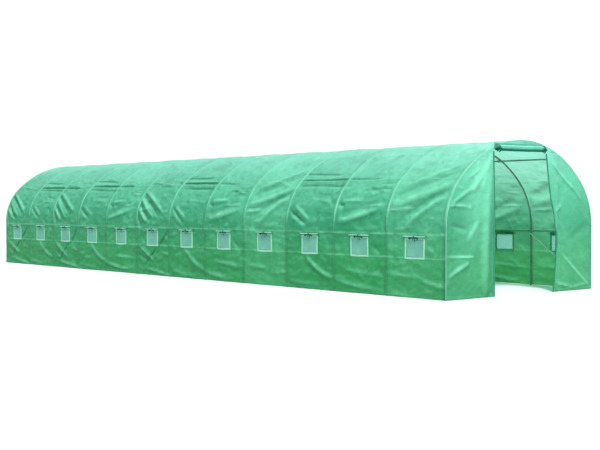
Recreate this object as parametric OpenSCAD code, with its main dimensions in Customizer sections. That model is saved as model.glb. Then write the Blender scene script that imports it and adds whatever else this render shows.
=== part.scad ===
// Walk-in polytunnel greenhouse: thirteen bent steel hoops tied by five purlins, under a
// sewn green sheet cover with a row of mesh windows down each side and a roll-up door.
// X runs across the tunnel, Y along it with the open door at -Y, and Z up from the ground.

/* [Tunnel] */
// Width over the cover at the ground
body_w = 3000; // [2800:50:3400]
// Length over the two end covers
body_l = 12000; // [9000:500:15000]
// Height of the cover at the ridge
ridge_h = 2000; // [1950:10:2200]
// Height of the straight legs, up to where the hoops begin to bend
leg_h = 850; // [800:10:900]
// Radius of the cover over the shoulders of each hoop
shoulder_r = 900; // [850:10:920]

/* [Frame] */
// Outside diameter of the hoop tubes
hoop_d = 25; // [20:1:28]
// Outside diameter of the purlin tubes
purlin_d = 22; // [16:1:24]
// Outside diameter of the sleeves and cross connectors
sleeve_d = 29; // [29:0.5:32]
// Length of each sleeve
sleeve_l = 80; // [60:5:90]
// Length of the cross connectors where purlins meet hoops
connector_l = 56; // [40:4:60]
// Height of the waist purlins
waist_z = 790; // [700:10:820]
// Angle of the shoulder purlins from the ridge, about the centre of the crown bend
shoulder_purlin_angle = 26; // [24:1:34]
// Outside diameter of the diagonal corner braces
brace_d = 19; // [16:1:22]

/* [Cover] */
// Thickness the cover sheet is modelled at
sheet_t = 3; // [2:0.5:4]
// Width of each side window
window_w = 300; // [260:10:400]
// Height of each side window
window_h = 225; // [200:5:280]
// Height of the lower edge of each side window
window_z = 505; // [420:5:520]
// Width of the binding sewn round a window
binding_w = 18; // [14:1:28]
// Diameter of a window flap when it is rolled up
window_roll_d = 30; // [24:1:40]

/* [Door] */
// Clear width of each doorway
door_w = 1200; // [1000:20:1260]
// Height of each doorway
door_h = 1870; // [1800:5:1875]
// Diameter of the door curtain when it is rolled up
door_roll_d = 80; // [70:5:110]
// Width of the zip tapes
zip_w = 26; // [20:1:34]

/* [Hidden] */
$fn = 48;
tube_fn = 48;
arch_fn = 360;
// Bays between hoops, one fewer than the hoops listed below
bay_count = 12;

// Colours of the steel, the cover and its trim
steel = [0.55, 0.62, 0.60];
green_sheet = [0.33, 0.75, 0.55];
pale_binding = [0.72, 0.93, 0.84];
insect_mesh = [0.55, 0.74, 0.70];
dark_trim = [0.05, 0.27, 0.20];

// Clearances between sewn pieces, between tubes, and between the cover and the steel
sewn_gap = 0.5;
steel_gap = 0.5;
cover_gap = 1.5;
// How far a cutting shape runs past what it cuts
cut_over = 1;
// Half the gap that two tubes leave between their ends inside a sleeve
butt_gap = 3;
sleeve_step = (sleeve_d - hoop_d) / 2;

// The two-radius arch: a shoulder bend on each side, tangent to the leg and to one crown bend
half_w = body_w / 2;
rise = ridge_h - leg_h;
crown_r = (half_w * half_w + rise * rise - 2 * half_w * shoulder_r) / (2 * (rise - shoulder_r));
shoulder_x = half_w - shoulder_r;
crown_z = ridge_h - crown_r;
bend_angle = atan2(crown_r - rise, half_w - shoulder_r);

// Insets of the tube centre lines from the outside of the cover
hoop_inset = sheet_t + cover_gap + sleeve_step + hoop_d / 2;
purlin_inset = hoop_inset + (hoop_d + sleeve_d) / 2 + steel_gap;
brace_inset = hoop_inset + (hoop_d + brace_d) / 2 + steel_gap;
// The ridge purlin also clears the sleeve that joins each hoop at the ridge
ridge_purlin_inset = purlin_inset + sleeve_step;

// Thin trim, and how far it stands out at each end
tie_t = 3;
tie_gap = 0.2;
zip_t = 2;
roll_gap = 1;
front_reach = roll_gap + door_roll_d + tie_t;
rear_reach = zip_t;
y_front = front_reach - (body_l + front_reach + rear_reach) / 2;
y_rear = y_front + body_l;

// Hoops stand just inside the end covers and divide the length evenly
end_inset = sheet_t + cover_gap + sleeve_step + hoop_d / 2;
bay_l = (body_l - 2 * end_inset) / bay_count;
function hoop_y(i) = y_front + end_inset + i * bay_l;
function window_y(i) = hoop_y(i) + bay_l / 2;
end_reach = hoop_d / 2 + sleeve_step;
function connector_low(i) = max(hoop_y(i) - connector_l / 2, hoop_y(0) - end_reach);
function connector_high(i) = min(hoop_y(i) + connector_l / 2, hoop_y(bay_count) + end_reach);

// A tube bent to the arch, with its centre line inset from the cover
module arch_bend(centre, radius, start, sweep, d) {
    translate([centre[0], 0, centre[1]])
        rotate([90, 0, 0])
            rotate([0, 0, start])
                rotate_extrude(angle = sweep, $fn = arch_fn)
                    translate([radius, 0])
                        circle(d = d, $fn = tube_fn);
}

// A straight sleeve centred on a joint of the arch, which is at an angle about a bend's centre
module arch_sleeve(centre, radius, angle) {
    translate([centre[0] + radius * cos(angle), 0, centre[1] + radius * sin(angle)])
        rotate([0, -angle, 0])
            cylinder(d = sleeve_d, h = sleeve_l, center = true);
}

// A leg, a shoulder bend and half of the crown bend, with the sleeves that join them
module hoop_half() {
    bend_r = shoulder_r - hoop_inset;
    half_crown_r = crown_r - hoop_inset;
    bend_gap = butt_gap / bend_r * 180 / PI;
    crown_gap = butt_gap / half_crown_r * 180 / PI;
    translate([half_w - hoop_inset, 0, 0])
        cylinder(d = hoop_d, h = leg_h - butt_gap);
    arch_bend([shoulder_x, leg_h], bend_r, bend_gap, bend_angle - 2 * bend_gap, hoop_d);
    arch_bend([0, crown_z], half_crown_r, bend_angle + crown_gap, 90 - bend_angle - 2 * crown_gap, hoop_d);
    arch_sleeve([shoulder_x, leg_h], bend_r, 0);
    arch_sleeve([shoulder_x, leg_h], bend_r, bend_angle);
}

module hoop(i) {
    color(steel)
        translate([0, hoop_y(i), 0])
            union() {
                hoop_half();
                mirror([1, 0, 0])
                    hoop_half();
                arch_sleeve([0, crown_z], crown_r - hoop_inset, 90);
            }
}

// A purlin along the whole frame, with a cross connector under every hoop. The connectors of the
// two end hoops are cut short, so that they stay behind the end covers.
module purlin(x, z) {
    color(steel)
        translate([x, 0, z])
            rotate([-90, 0, 0])
                union() {
                    translate([0, 0, hoop_y(0)])
                        cylinder(d = purlin_d, h = bay_l * bay_count);
                    for (i = [0:bay_count])
                        translate([0, 0, connector_low(i)])
                            cylinder(d = sleeve_d, h = connector_high(i) - connector_low(i));
                }
}

module shoulder_purlin(side) {
    reach = crown_r - purlin_inset;
    purlin(side * reach * sin(shoulder_purlin_angle), crown_z + reach * cos(shoulder_purlin_angle));
}

// Diagonal tubes from the foot of an end hoop up to the waist of the next one, on both sides
module corner_braces(end_hoop, next_hoop) {
    foot_z = 60;
    foot = [hoop_y(end_hoop), foot_z];
    top = [hoop_y(next_hoop), waist_z - sleeve_d / 2 - brace_d];
    lean = atan2(top[0] - foot[0], top[1] - foot[1]);
    brace_l = norm(top - foot);
    color(steel)
        for (side = [-1, 1])
            translate([side * (half_w - brace_inset), foot[0], foot[1]])
                rotate([-lean, 0, 0])
                    cylinder(d = brace_d, h = brace_l);
}

// Two posts and a head rail in the plane of an end hoop, each running to the underside of the hoop
module door_frame(end_hoop) {
    post_margin = 120;
    post_x = door_w / 2 + post_margin;
    under_hoop = crown_r - hoop_inset - hoop_d / 2 - steel_gap;
    post_h = crown_z + sqrt(pow(under_hoop, 2) - pow(post_x + purlin_d / 2, 2));
    rail_reach = sqrt(pow(under_hoop, 2) - pow(door_h + purlin_d - crown_z, 2));
    color(steel)
        translate([0, hoop_y(end_hoop), 0]) {
            for (side = [-1, 1])
                translate([side * post_x, 0, 0])
                    cylinder(d = purlin_d, h = post_h);
            translate([-rail_reach, 0, door_h + purlin_d / 2])
                rotate([0, 90, 0])
                    cylinder(d = purlin_d, h = 2 * rail_reach);
        }
}

// Flat strip of cover beside the legs, with its windows cut through
module side_cover(side) {
    color(green_sheet)
        difference() {
            translate([side > 0 ? half_w - sheet_t : -half_w, y_front, 0])
                cube([sheet_t, body_l, leg_h - sewn_gap / 2]);
            for (i = [0:bay_count - 1])
                translate([side * half_w, window_y(i), window_z + window_h / 2])
                    cube([4 * sheet_t, window_w, window_h], center = true);
        }
}

// A strip of cover bent about an axis along Y
module cover_bend(centre, radius, start, sweep) {
    color(green_sheet)
        translate([centre[0], y_rear, centre[1]])
            rotate([90, 0, 0])
                rotate([0, 0, start])
                    rotate_extrude(angle = sweep, $fn = arch_fn)
                        translate([radius - sheet_t, 0])
                            square([sheet_t, body_l]);
}

module shoulder_cover(side) {
    mirror([side > 0 ? 0 : 1, 0, 0])
        cover_bend([shoulder_x, leg_h], shoulder_r, 0, bend_angle);
}

module crown_cover() {
    seam_angle = sewn_gap / crown_r * 180 / PI;
    cover_bend([0, crown_z], crown_r, bend_angle + seam_angle, 180 - 2 * bend_angle - 2 * seam_angle);
}

// Outline of the arch, inset from the outside of the cover
module arch_outline(inset) {
    far = 2 * ridge_h;
    translate([-half_w + inset, 0])
        square([body_w - 2 * inset, leg_h]);
    intersection() {
        translate([-half_w, leg_h])
            square([body_w, ridge_h]);
        union() {
            for (side = [-1, 1])
                translate([side * shoulder_x, leg_h])
                    circle(r = shoulder_r - inset, $fn = arch_fn);
            intersection() {
                translate([0, crown_z])
                    circle(r = crown_r - inset, $fn = arch_fn);
                polygon([
                    [0, crown_z],
                    [far * cos(bend_angle), crown_z + far * sin(bend_angle)],
                    [-far * cos(bend_angle), crown_z + far * sin(bend_angle)]
                ]);
            }
        }
    }
}

// Part of an end cover between two widths and two heights, with its outside face at y
module end_piece(y, x_low, x_high, z_low, z_high) {
    color(green_sheet)
        translate([0, y + sheet_t, 0])
            rotate([90, 0, 0])
                linear_extrude(height = sheet_t)
                    intersection() {
                        arch_outline(sheet_t + sewn_gap);
                        translate([x_low, z_low])
                            square([x_high - x_low, z_high - z_low]);
                    }
}

module end_panel(y, side) {
    low = side > 0 ? door_w / 2 : -half_w;
    end_piece(y, low, low + half_w - door_w / 2, 0, ridge_h);
}

// Edge of the right front panel beside the open doorway, as [width outside the clear doorway, share
// of its height]: it bellies out low down and is drawn in to the roll at the top
drawn_edge = [
    [20, 0], [50, 0.10], [83, 0.25], [98, 0.35], [90, 0.43],
    [63, 0.47], [20, 0.58], [-40, 0.67], [-90, 0.81], [-144, 1]
];

// Outline between the drawn edge and a line beside it
module beside_drawn_edge(width) {
    edge_top = door_h - sewn_gap;
    polygon(concat(
        [for (p = drawn_edge) [door_w / 2 + p[0], p[1] * edge_top]],
        [for (i = [len(drawn_edge) - 1:-1:0])
            [door_w / 2 + drawn_edge[i][0] + width, drawn_edge[i][1] * edge_top]]
    ));
}

module drawn_panel() {
    overlap = 260;
    color(green_sheet)
        translate([0, y_front + sheet_t, 0])
            rotate([90, 0, 0])
                linear_extrude(height = sheet_t)
                    intersection() {
                        arch_outline(sheet_t + sewn_gap);
                        union() {
                            beside_drawn_edge(overlap);
                            translate([door_w / 2 + overlap / 2, 0])
                                square([half_w, door_h]);
                            translate([door_w / 2, door_h - overlap])
                                square([half_w, ridge_h]);
                        }
                    }
}

module head_panel(y) {
    half_door = door_w / 2 - sewn_gap;
    end_piece(y, -half_door, half_door, door_h, ridge_h);
}

module rear_door_curtain() {
    half_door = door_w / 2 - sewn_gap;
    end_piece(y_rear - sheet_t, -half_door, half_door, 0, door_h - sewn_gap);
}

// The front door curtain, rolled up and tied under the ridge, with its right end drawn in and its
// lower edge just below the head of the doorway
roll_rise = -18;
roll_left = -door_w / 2;
roll_right = door_w / 2 - 235;
roll_z = door_h + door_roll_d / 2 + roll_rise;
roll_y = y_front - roll_gap - door_roll_d / 2;

module door_roll() {
    color(green_sheet)
        translate([roll_left, roll_y, roll_z])
            rotate([0, 90, 0])
                cylinder(d = door_roll_d, h = roll_right - roll_left);
}

module door_roll_ties() {
    tie_w = 30;
    from_end = 6;
    color(dark_trim)
        for (x = [roll_left + from_end, roll_right - from_end - tie_w])
            translate([x, roll_y, roll_z])
                rotate([0, 90, 0])
                    difference() {
                        cylinder(d = door_roll_d + 2 * tie_t, h = tie_w);
                        translate([0, 0, -cut_over])
                            cylinder(d = door_roll_d + 2 * tie_gap, h = tie_w + 2 * cut_over);
                        translate([-door_roll_d, door_roll_d / 2 - roll_gap, -cut_over])
                            cube([2 * door_roll_d, door_roll_d, tie_w + 2 * cut_over]);
                    }
}

module front_zip_tapes() {
    below_head = 30;
    tape_h = door_h - below_head;
    color(dark_trim) {
        translate([-door_w / 2 - zip_w, y_front - zip_t, 0])
            cube([zip_w, zip_t, tape_h]);
        translate([0, y_front, 0])
            rotate([90, 0, 0])
                linear_extrude(height = zip_t)
                    intersection() {
                        beside_drawn_edge(zip_w);
                        square([half_w, tape_h]);
                    }
    }
}

module rear_zip_tape() {
    color(dark_trim)
        difference() {
            translate([-door_w / 2 - zip_w / 2, y_rear, 0])
                cube([door_w + zip_w, zip_t, door_h + zip_w / 2]);
            translate([-door_w / 2 + zip_w / 2, y_rear - cut_over, -cut_over])
                cube([door_w - zip_w, zip_t + 2 * cut_over, door_h - zip_w / 2 + cut_over]);
        }
}

// Insect mesh that fills the windows of one side
module window_mesh(side) {
    mesh_t = 1.5;
    color(insect_mesh)
        for (i = [0:bay_count - 1])
            translate([side * (half_w - sheet_t / 2), window_y(i), window_z + window_h / 2])
                cube([mesh_t, window_w - 2 * sewn_gap, window_h - 2 * sewn_gap], center = true);
}

// Binding frames sewn on the outside of every window
module window_bindings() {
    binding_t = 2;
    binding_lap = 4;
    color(pale_binding)
        for (side = [-1, 1], i = [0:bay_count - 1])
            translate([side * (half_w + binding_t / 2), window_y(i), window_z + window_h / 2])
                difference() {
                    cube([binding_t, window_w + 2 * binding_w, window_h + 2 * binding_w], center = true);
                    cube([2 * binding_t, window_w - 2 * binding_lap, window_h - 2 * binding_lap], center = true);
                }
}

// The window flaps, rolled up above the windows
window_roll_z = window_z + window_h + binding_w + window_roll_d / 2 + roll_gap;

module window_rolls(side) {
    overhang = 30;
    color(green_sheet)
        for (i = [0:bay_count - 1])
            translate([side * (half_w + sewn_gap + window_roll_d / 2), window_y(i), window_roll_z])
                rotate([90, 0, 0])
                    cylinder(d = window_roll_d, h = window_w + 2 * overhang, center = true);
}

module window_ties() {
    window_tie_w = 14;
    window_tie_h = 96;
    reach = half_w + sewn_gap + window_roll_d + tie_gap + tie_t / 2;
    color(dark_trim)
        for (side = [-1, 1], i = [0:bay_count - 1])
            translate([side * reach, window_y(i), window_roll_z + window_roll_d / 2 - window_tie_h / 2])
                cube([tie_t, window_tie_w, window_tie_h], center = true);
}

hoop(0);  // hoop_01
hoop(1);  // hoop_02
hoop(2);  // hoop_03
hoop(3);  // hoop_04
hoop(4);  // hoop_05
hoop(5);  // hoop_06
hoop(6);  // hoop_07
hoop(7);  // hoop_08
hoop(8);  // hoop_09
hoop(9);  // hoop_10
hoop(10);  // hoop_11
hoop(11);  // hoop_12
hoop(12);  // hoop_13
purlin(0, ridge_h - ridge_purlin_inset);  // ridge_purlin
shoulder_purlin(-1);  // shoulder_purlin_left
shoulder_purlin(1);  // shoulder_purlin_right
purlin(purlin_inset - half_w, waist_z);  // waist_purlin_left
purlin(half_w - purlin_inset, waist_z);  // waist_purlin_right
corner_braces(0, 1);  // front_corner_braces
corner_braces(bay_count, bay_count - 1);  // rear_corner_braces
door_frame(0);  // front_door_frame
door_frame(bay_count);  // rear_door_frame
side_cover(-1);  // side_cover_left
side_cover(1);  // side_cover_right
shoulder_cover(-1);  // shoulder_cover_left
shoulder_cover(1);  // shoulder_cover_right
crown_cover();
end_panel(y_front, -1);  // front_panel_left
drawn_panel();  // front_panel_right
head_panel(y_front);  // front_head_panel
end_panel(y_rear - sheet_t, -1);  // rear_panel_left
end_panel(y_rear - sheet_t, 1);  // rear_panel_right
head_panel(y_rear - sheet_t);  // rear_head_panel
rear_door_curtain();
door_roll();
door_roll_ties();
front_zip_tapes();
rear_zip_tape();
window_mesh(-1);  // window_mesh_left
window_mesh(1);  // window_mesh_right
window_bindings();
window_rolls(-1);  // window_rolls_left
window_rolls(1);  // window_rolls_right
window_ties();
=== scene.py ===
"""Looks of a walk-in polytunnel greenhouse, dressed around its packed steel and cover.

The thirteen hoops, the purlins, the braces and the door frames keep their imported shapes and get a
galvanised finish, bolts and spring buttons. The sewn green sheet is made again as thin creased
cloth, with its seams, windows, rolled flaps, ties, zips and rolled door curtain.

Everything is in metres. X runs across the tunnel, Y along it with the open doorway at -Y, Z up.
"""
import logging
import math
from contextlib import contextmanager
from dataclasses import dataclass, replace
from enum import Enum
from functools import cache
from typing import Callable, Iterator, Optional, Sequence, Union

import bpy
import numpy as np
from mathutils import Matrix, Vector, noise


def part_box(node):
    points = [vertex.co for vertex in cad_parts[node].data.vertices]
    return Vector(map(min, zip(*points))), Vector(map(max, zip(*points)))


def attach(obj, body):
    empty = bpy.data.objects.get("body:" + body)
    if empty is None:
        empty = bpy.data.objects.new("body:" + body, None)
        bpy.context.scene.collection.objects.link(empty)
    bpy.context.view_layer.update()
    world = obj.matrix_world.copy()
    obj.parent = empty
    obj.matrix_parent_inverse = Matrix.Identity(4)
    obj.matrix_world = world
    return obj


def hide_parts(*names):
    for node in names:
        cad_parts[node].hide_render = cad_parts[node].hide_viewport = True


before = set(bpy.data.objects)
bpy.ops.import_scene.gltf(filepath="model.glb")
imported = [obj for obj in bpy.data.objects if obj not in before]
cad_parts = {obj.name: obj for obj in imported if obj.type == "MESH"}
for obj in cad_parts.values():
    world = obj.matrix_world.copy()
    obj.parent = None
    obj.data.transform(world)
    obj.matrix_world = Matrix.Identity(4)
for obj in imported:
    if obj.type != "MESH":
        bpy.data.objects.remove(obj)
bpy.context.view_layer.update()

SEED = 41
BODY = "root"
WEAVE_MAP = "Weave"
# Vertex marks that the sheets' finishes read: pale blends towards the paler tone, mostly as painted
# highlight, and shade blends towards the darker tone as painted shade.
PALE = "pale"
SHADE = "shade"
INNER = "inner_face"
# Vertices that are nearer than this are one vertex.
MERGE = 1e-5
# The hem's stitches above the ground, and the crossings that draw them.
HEM_LINE = 0.03
HEM_ROWS = (0.024, HEM_LINE, 0.036)

log = logging.getLogger("polytunnel")
Array = np.ndarray
Piece = bpy.types.Object
Socket = bpy.types.NodeSocket
Number = Union[float, Socket]
Colour = tuple[float, float, float]
Spot = tuple[float, float, float]
Spreader = Callable[[Array, Array], Array]


class OneOfTwo(Enum):
    """One of a pair that a sign tells apart."""

    @property
    def word(self) -> str:
        """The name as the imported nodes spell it."""
        return self.name.lower()


class Side(OneOfTwo):
    """The two long sides of the tunnel, by the sign of X."""

    LEFT = -1
    RIGHT = 1


class End(OneOfTwo):
    """The two ends of the tunnel, by the sign of Y that faces outwards."""

    FRONT = -1
    REAR = 1


class Habit(Enum):
    """How the sheet of one bay has settled between its two hoops."""

    SWEEP = "long folds up to the nearer hoop"
    RUMPLE = "loose rumples under the shoulder"
    LEVEL = "level folds along the shoulder seam"
    FAN = "folds fanning from the farther hoop"


# ---- bench work


@dataclass
class Laid:
    """Where the crossings of a cloth go, and how pale and how shaded each one is."""

    points: Array
    pale: Optional[Array] = None
    shade: Optional[Array] = None


Placer = Callable[[Array, Array], Laid]


def smooth_step(value: Array, low: float, high: float) -> Array:
    """Rises smoothly from 0 at low to 1 at high."""
    share = np.clip((value - low) / (high - low), 0.0, 1.0)
    return share * share * (3 - 2 * share)


def bell(value: Array, width: Union[float, Array]) -> Array:
    """A bell curve of height 1 that falls to 1/e at width from 0."""
    return np.exp(-np.square(value / width))


def lengths_along(path: Array) -> Array:
    """The distance along a path to each of its points."""
    return np.concatenate([[0.0], np.cumsum(np.linalg.norm(np.diff(path, axis=0), axis=1))])


def unit(rows: Array, length: float = 1.0) -> Array:
    """The rows' directions, as steps of a given length."""
    return rows * (length / np.linalg.norm(rows, axis=1)[:, None])


def gap_to(values: Array, marks: Sequence[float]) -> Array:
    """The distance from each value to the nearest mark."""
    return np.abs(values[:, None] - np.array(marks)[None, :]).min(1)


def only(piece: Piece) -> None:
    """Makes a piece the one that is selected and active.

    Args:
        piece: The piece.
    """
    bpy.ops.object.select_all(action="DESELECT")
    piece.select_set(True)
    bpy.context.view_layer.objects.active = piece


def points_of(piece: Piece) -> Array:
    """Reads where a piece's vertices are.

    Args:
        piece: The piece.

    Returns:
        A row for each vertex.
    """
    flat = np.empty(len(piece.data.vertices) * 3, np.float32)
    piece.data.vertices.foreach_get("co", flat)
    return flat.reshape(-1, 3).astype(float)


def put_points(piece: Piece, points: Array) -> None:
    """Moves the piece's vertices to the rows of an array."""
    piece.data.vertices.foreach_set("co", points.astype(np.float32).ravel())
    piece.data.update()


def paint(piece: Piece, name: str, values: Array) -> None:
    """Stores one number at each vertex, for the finish to read."""
    layer = piece.data.attributes.get(name) or piece.data.attributes.new(name, "FLOAT", "POINT")
    layer.data.foreach_set("value", values.astype(np.float32))


def apply_modifier(piece: Piece, kind: str, **settings: object) -> None:
    """Adds a modifier, sets it and applies it.

    Args:
        piece: The piece to change.
        kind: The modifier's type.
        settings: Its properties.
    """
    only(piece)
    bpy.ops.object.modifier_add(type=kind)
    modifier = piece.modifiers[-1]
    for key, value in settings.items():
        setattr(modifier, key, value)
    bpy.ops.object.modifier_apply(modifier=modifier.name)


def settle(piece: Piece) -> Piece:
    """Leaves a piece at the origin, unturned and unscaled, with its place in its mesh.

    Args:
        piece: The piece.

    Returns:
        The same piece.
    """
    only(piece)
    bpy.ops.object.transform_apply(location=True, rotation=True, scale=True)
    return piece


def smooth(piece: Piece, degrees: float) -> Piece:
    """Shades a piece smooth, apart from its sharp edges.

    Args:
        piece: The piece.
        degrees: The angle from which an edge is sharp.

    Returns:
        The same piece.
    """
    only(piece)
    bpy.ops.object.shade_smooth_by_angle(angle=math.radians(degrees))
    return piece


def thicken(piece: Piece, thickness: float) -> Piece:
    """Smooths a sheet, thickens it away from its outer face and marks its inner faces.

    Args:
        piece: The sheet, one layer thick.
        thickness: Its thickness.

    Returns:
        The same piece.
    """
    smooth(piece, 180.0)
    outer = len(piece.data.polygons)
    apply_modifier(piece, "SOLIDIFY", thickness=thickness, offset=-1.0, use_even_offset=False)
    number = np.arange(len(piece.data.polygons))
    inner = (number >= outer) & (number < 2 * outer)
    piece.data.attributes.new(INNER, "INT", "FACE").data.foreach_set("value", inner.astype(np.int32))
    return piece


@contextmanager
def editing(piece: Piece, action: str = "SELECT") -> Iterator[None]:
    """Opens a piece for editing, and closes it at the end.

    Args:
        piece: The piece.
        action: Whether all its faces start selected, or none.

    Yields:
        Nothing, while the piece is open.
    """
    only(piece)
    bpy.ops.object.mode_set(mode="EDIT")
    bpy.ops.mesh.select_mode(type="FACE")
    bpy.ops.mesh.select_all(action=action)
    yield
    bpy.ops.object.mode_set(mode="OBJECT")


def added(add: Callable[..., object], **settings: object) -> Piece:
    """Adds one primitive, with nothing else selected.

    Args:
        add: The operator that adds it.
        settings: What the operator is given.

    Returns:
        The new piece.
    """
    bpy.ops.object.select_all(action="DESELECT")
    add(**settings)
    return bpy.context.view_layer.objects.active


def close_seam(piece: Piece, hole_sides: int = 0) -> None:
    """Merges the vertices that meet, and turns every face outwards.

    Args:
        piece: The piece to close.
        hole_sides: The most edges round a hole that is filled, or 0 to fill none.
    """
    with editing(piece):
        bpy.ops.mesh.remove_doubles(threshold=MERGE)
        if hole_sides:
            bpy.ops.mesh.fill_holes(sides=hole_sides)
        bpy.ops.mesh.normals_make_consistent(inside=False)


def join(pieces: Sequence[Piece], name: str) -> Piece:
    """Joins several pieces into one.

    Args:
        pieces: What to join; the first one takes the others in.
        name: The name of the joined piece.

    Returns:
        The joined piece.
    """
    only(pieces[0])
    for piece in pieces[1:]:
        piece.select_set(True)
    bpy.ops.object.join()
    joined = bpy.context.view_layer.objects.active
    joined.name = name
    joined.data.name = name
    return joined


def stamp(pattern: Piece, places: Sequence[Matrix], name: str) -> Piece:
    """Copies a pattern to every place, joins the copies and throws the pattern away.

    Args:
        pattern: The piece that is repeated.
        places: Where each copy goes.
        name: The name of the joined copies.

    Returns:
        The joined copies.
    """
    copies = []
    for place in places:
        copy = pattern.copy()
        copy.data = pattern.data.copy()
        bpy.context.scene.collection.objects.link(copy)
        copy.data.transform(place)
        copies.append(copy)
    bpy.data.objects.remove(pattern)
    return join(copies, name)


def woven_strip(name: str, across: Array, along: Array, place: Placer) -> Piece:
    """Lays a flat grid of cloth and moves each crossing to its place.

    The distances of the crossings are kept in the piece's weave map as they are given.

    Args:
        name: The strip's name.
        across: The crossings' distances, or shares, across the cloth.
        along: Their distances, or shares, along it.
        place: Gives the point and the marks of each crossing from the two distances.

    Returns:
        The shaped strip, one layer thick.
    """
    columns, rows = len(across) - 1, len(along) - 1
    strip = added(bpy.ops.mesh.primitive_grid_add, x_subdivisions=columns, y_subdivisions=rows, size=1.0)
    strip.name = name
    strip.data.name = name
    flat = points_of(strip)
    column = np.rint((flat[:, 0] + 0.5) * columns).astype(int)
    row = np.rint((flat[:, 1] + 0.5) * rows).astype(int)
    crossing = np.stack([np.asarray(across)[column], np.asarray(along)[row]], 1)
    laid = place(crossing[:, 0], crossing[:, 1])
    put_points(strip, laid.points)
    for mark, values in ((PALE, laid.pale), (SHADE, laid.shade)):
        if values is not None:
            paint(strip, mark, values)
    corner = np.empty(len(strip.data.loops), np.int32)
    strip.data.loops.foreach_get("vertex_index", corner)
    layer = strip.data.uv_layers[0]
    layer.name = WEAVE_MAP
    layer.data.foreach_set("uv", crossing[corner].astype(np.float32).ravel())
    return strip


def cut_faces(piece: Piece, inside: Callable[[Array], Array]) -> None:
    """Deletes the faces whose middles are inside a region.

    Args:
        piece: The piece to cut.
        inside: Says for each middle whether its face goes.
    """
    middles = np.empty(len(piece.data.polygons) * 3, np.float32)
    piece.data.polygons.foreach_get("center", middles)
    with editing(piece, "DESELECT"):
        bpy.ops.object.mode_set(mode="OBJECT")
        piece.data.polygons.foreach_set("select", inside(middles.reshape(-1, 3)))
        bpy.ops.object.mode_set(mode="EDIT")
        bpy.ops.mesh.delete(type="FACE")


def swept(name: str, around: Array, path: Array, offset: Spreader) -> Piece:
    """A strip whose crossings stand off a path.

    Args:
        name: The strip's name.
        around: The crossings' distances across it.
        path: The points along its middle.
        offset: How far a crossing stands off, from its distance across and its point's number.

    Returns:
        The strip.
    """
    lengths = lengths_along(path)

    def place(across: Array, along: Array) -> Laid:
        """Puts a crossing beside its point of the path."""
        index = np.searchsorted(lengths, along - 1e-9).clip(0, len(path) - 1)
        return Laid(path[index] + offset(across[:, None], index))

    return woven_strip(name, around, lengths, place)


def ribbon(name: str, path: Array, reach: Array, thickness: float) -> Piece:
    """A flat strap that follows a path.

    Args:
        name: The strap's name.
        path: The points along its middle.
        reach: From each point to the strap's edge.
        thickness: The strap's thickness.

    Returns:
        The strap, closed all round.
    """
    half_w = float(np.linalg.norm(reach[0]))
    around = np.linspace(-half_w, half_w, 3)
    strap = swept(name, around, path, lambda across, row: reach[row] * (across / half_w))
    close_seam(strap)
    apply_modifier(strap, "SOLIDIFY", thickness=thickness, offset=0.0)
    close_seam(strap)
    return smooth(strap, 50.0)


def tube(name: str, path: Array, radius: float, sides: int = 8) -> Piece:
    """A round cord along a path in one upright plane.

    Args:
        name: The cord's name.
        path: The points along its middle.
        radius: Its radius.
        sides: The number of faces round it.

    Returns:
        The cord, with closed ends.
    """
    level = np.array([0.0, 1.0, 0.0])
    upright = np.cross(unit(np.gradient(path, axis=0)), level)
    around = np.linspace(0, 2 * math.pi * radius, sides + 1)
    cord = swept(
        name, around, path,
        lambda turn, row: radius * (np.cos(turn / radius) * level + np.sin(turn / radius) * upright[row]),
    )
    close_seam(cord, hole_sides=sides)
    return smooth(cord, 60.0)


# ---- finishes


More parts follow.
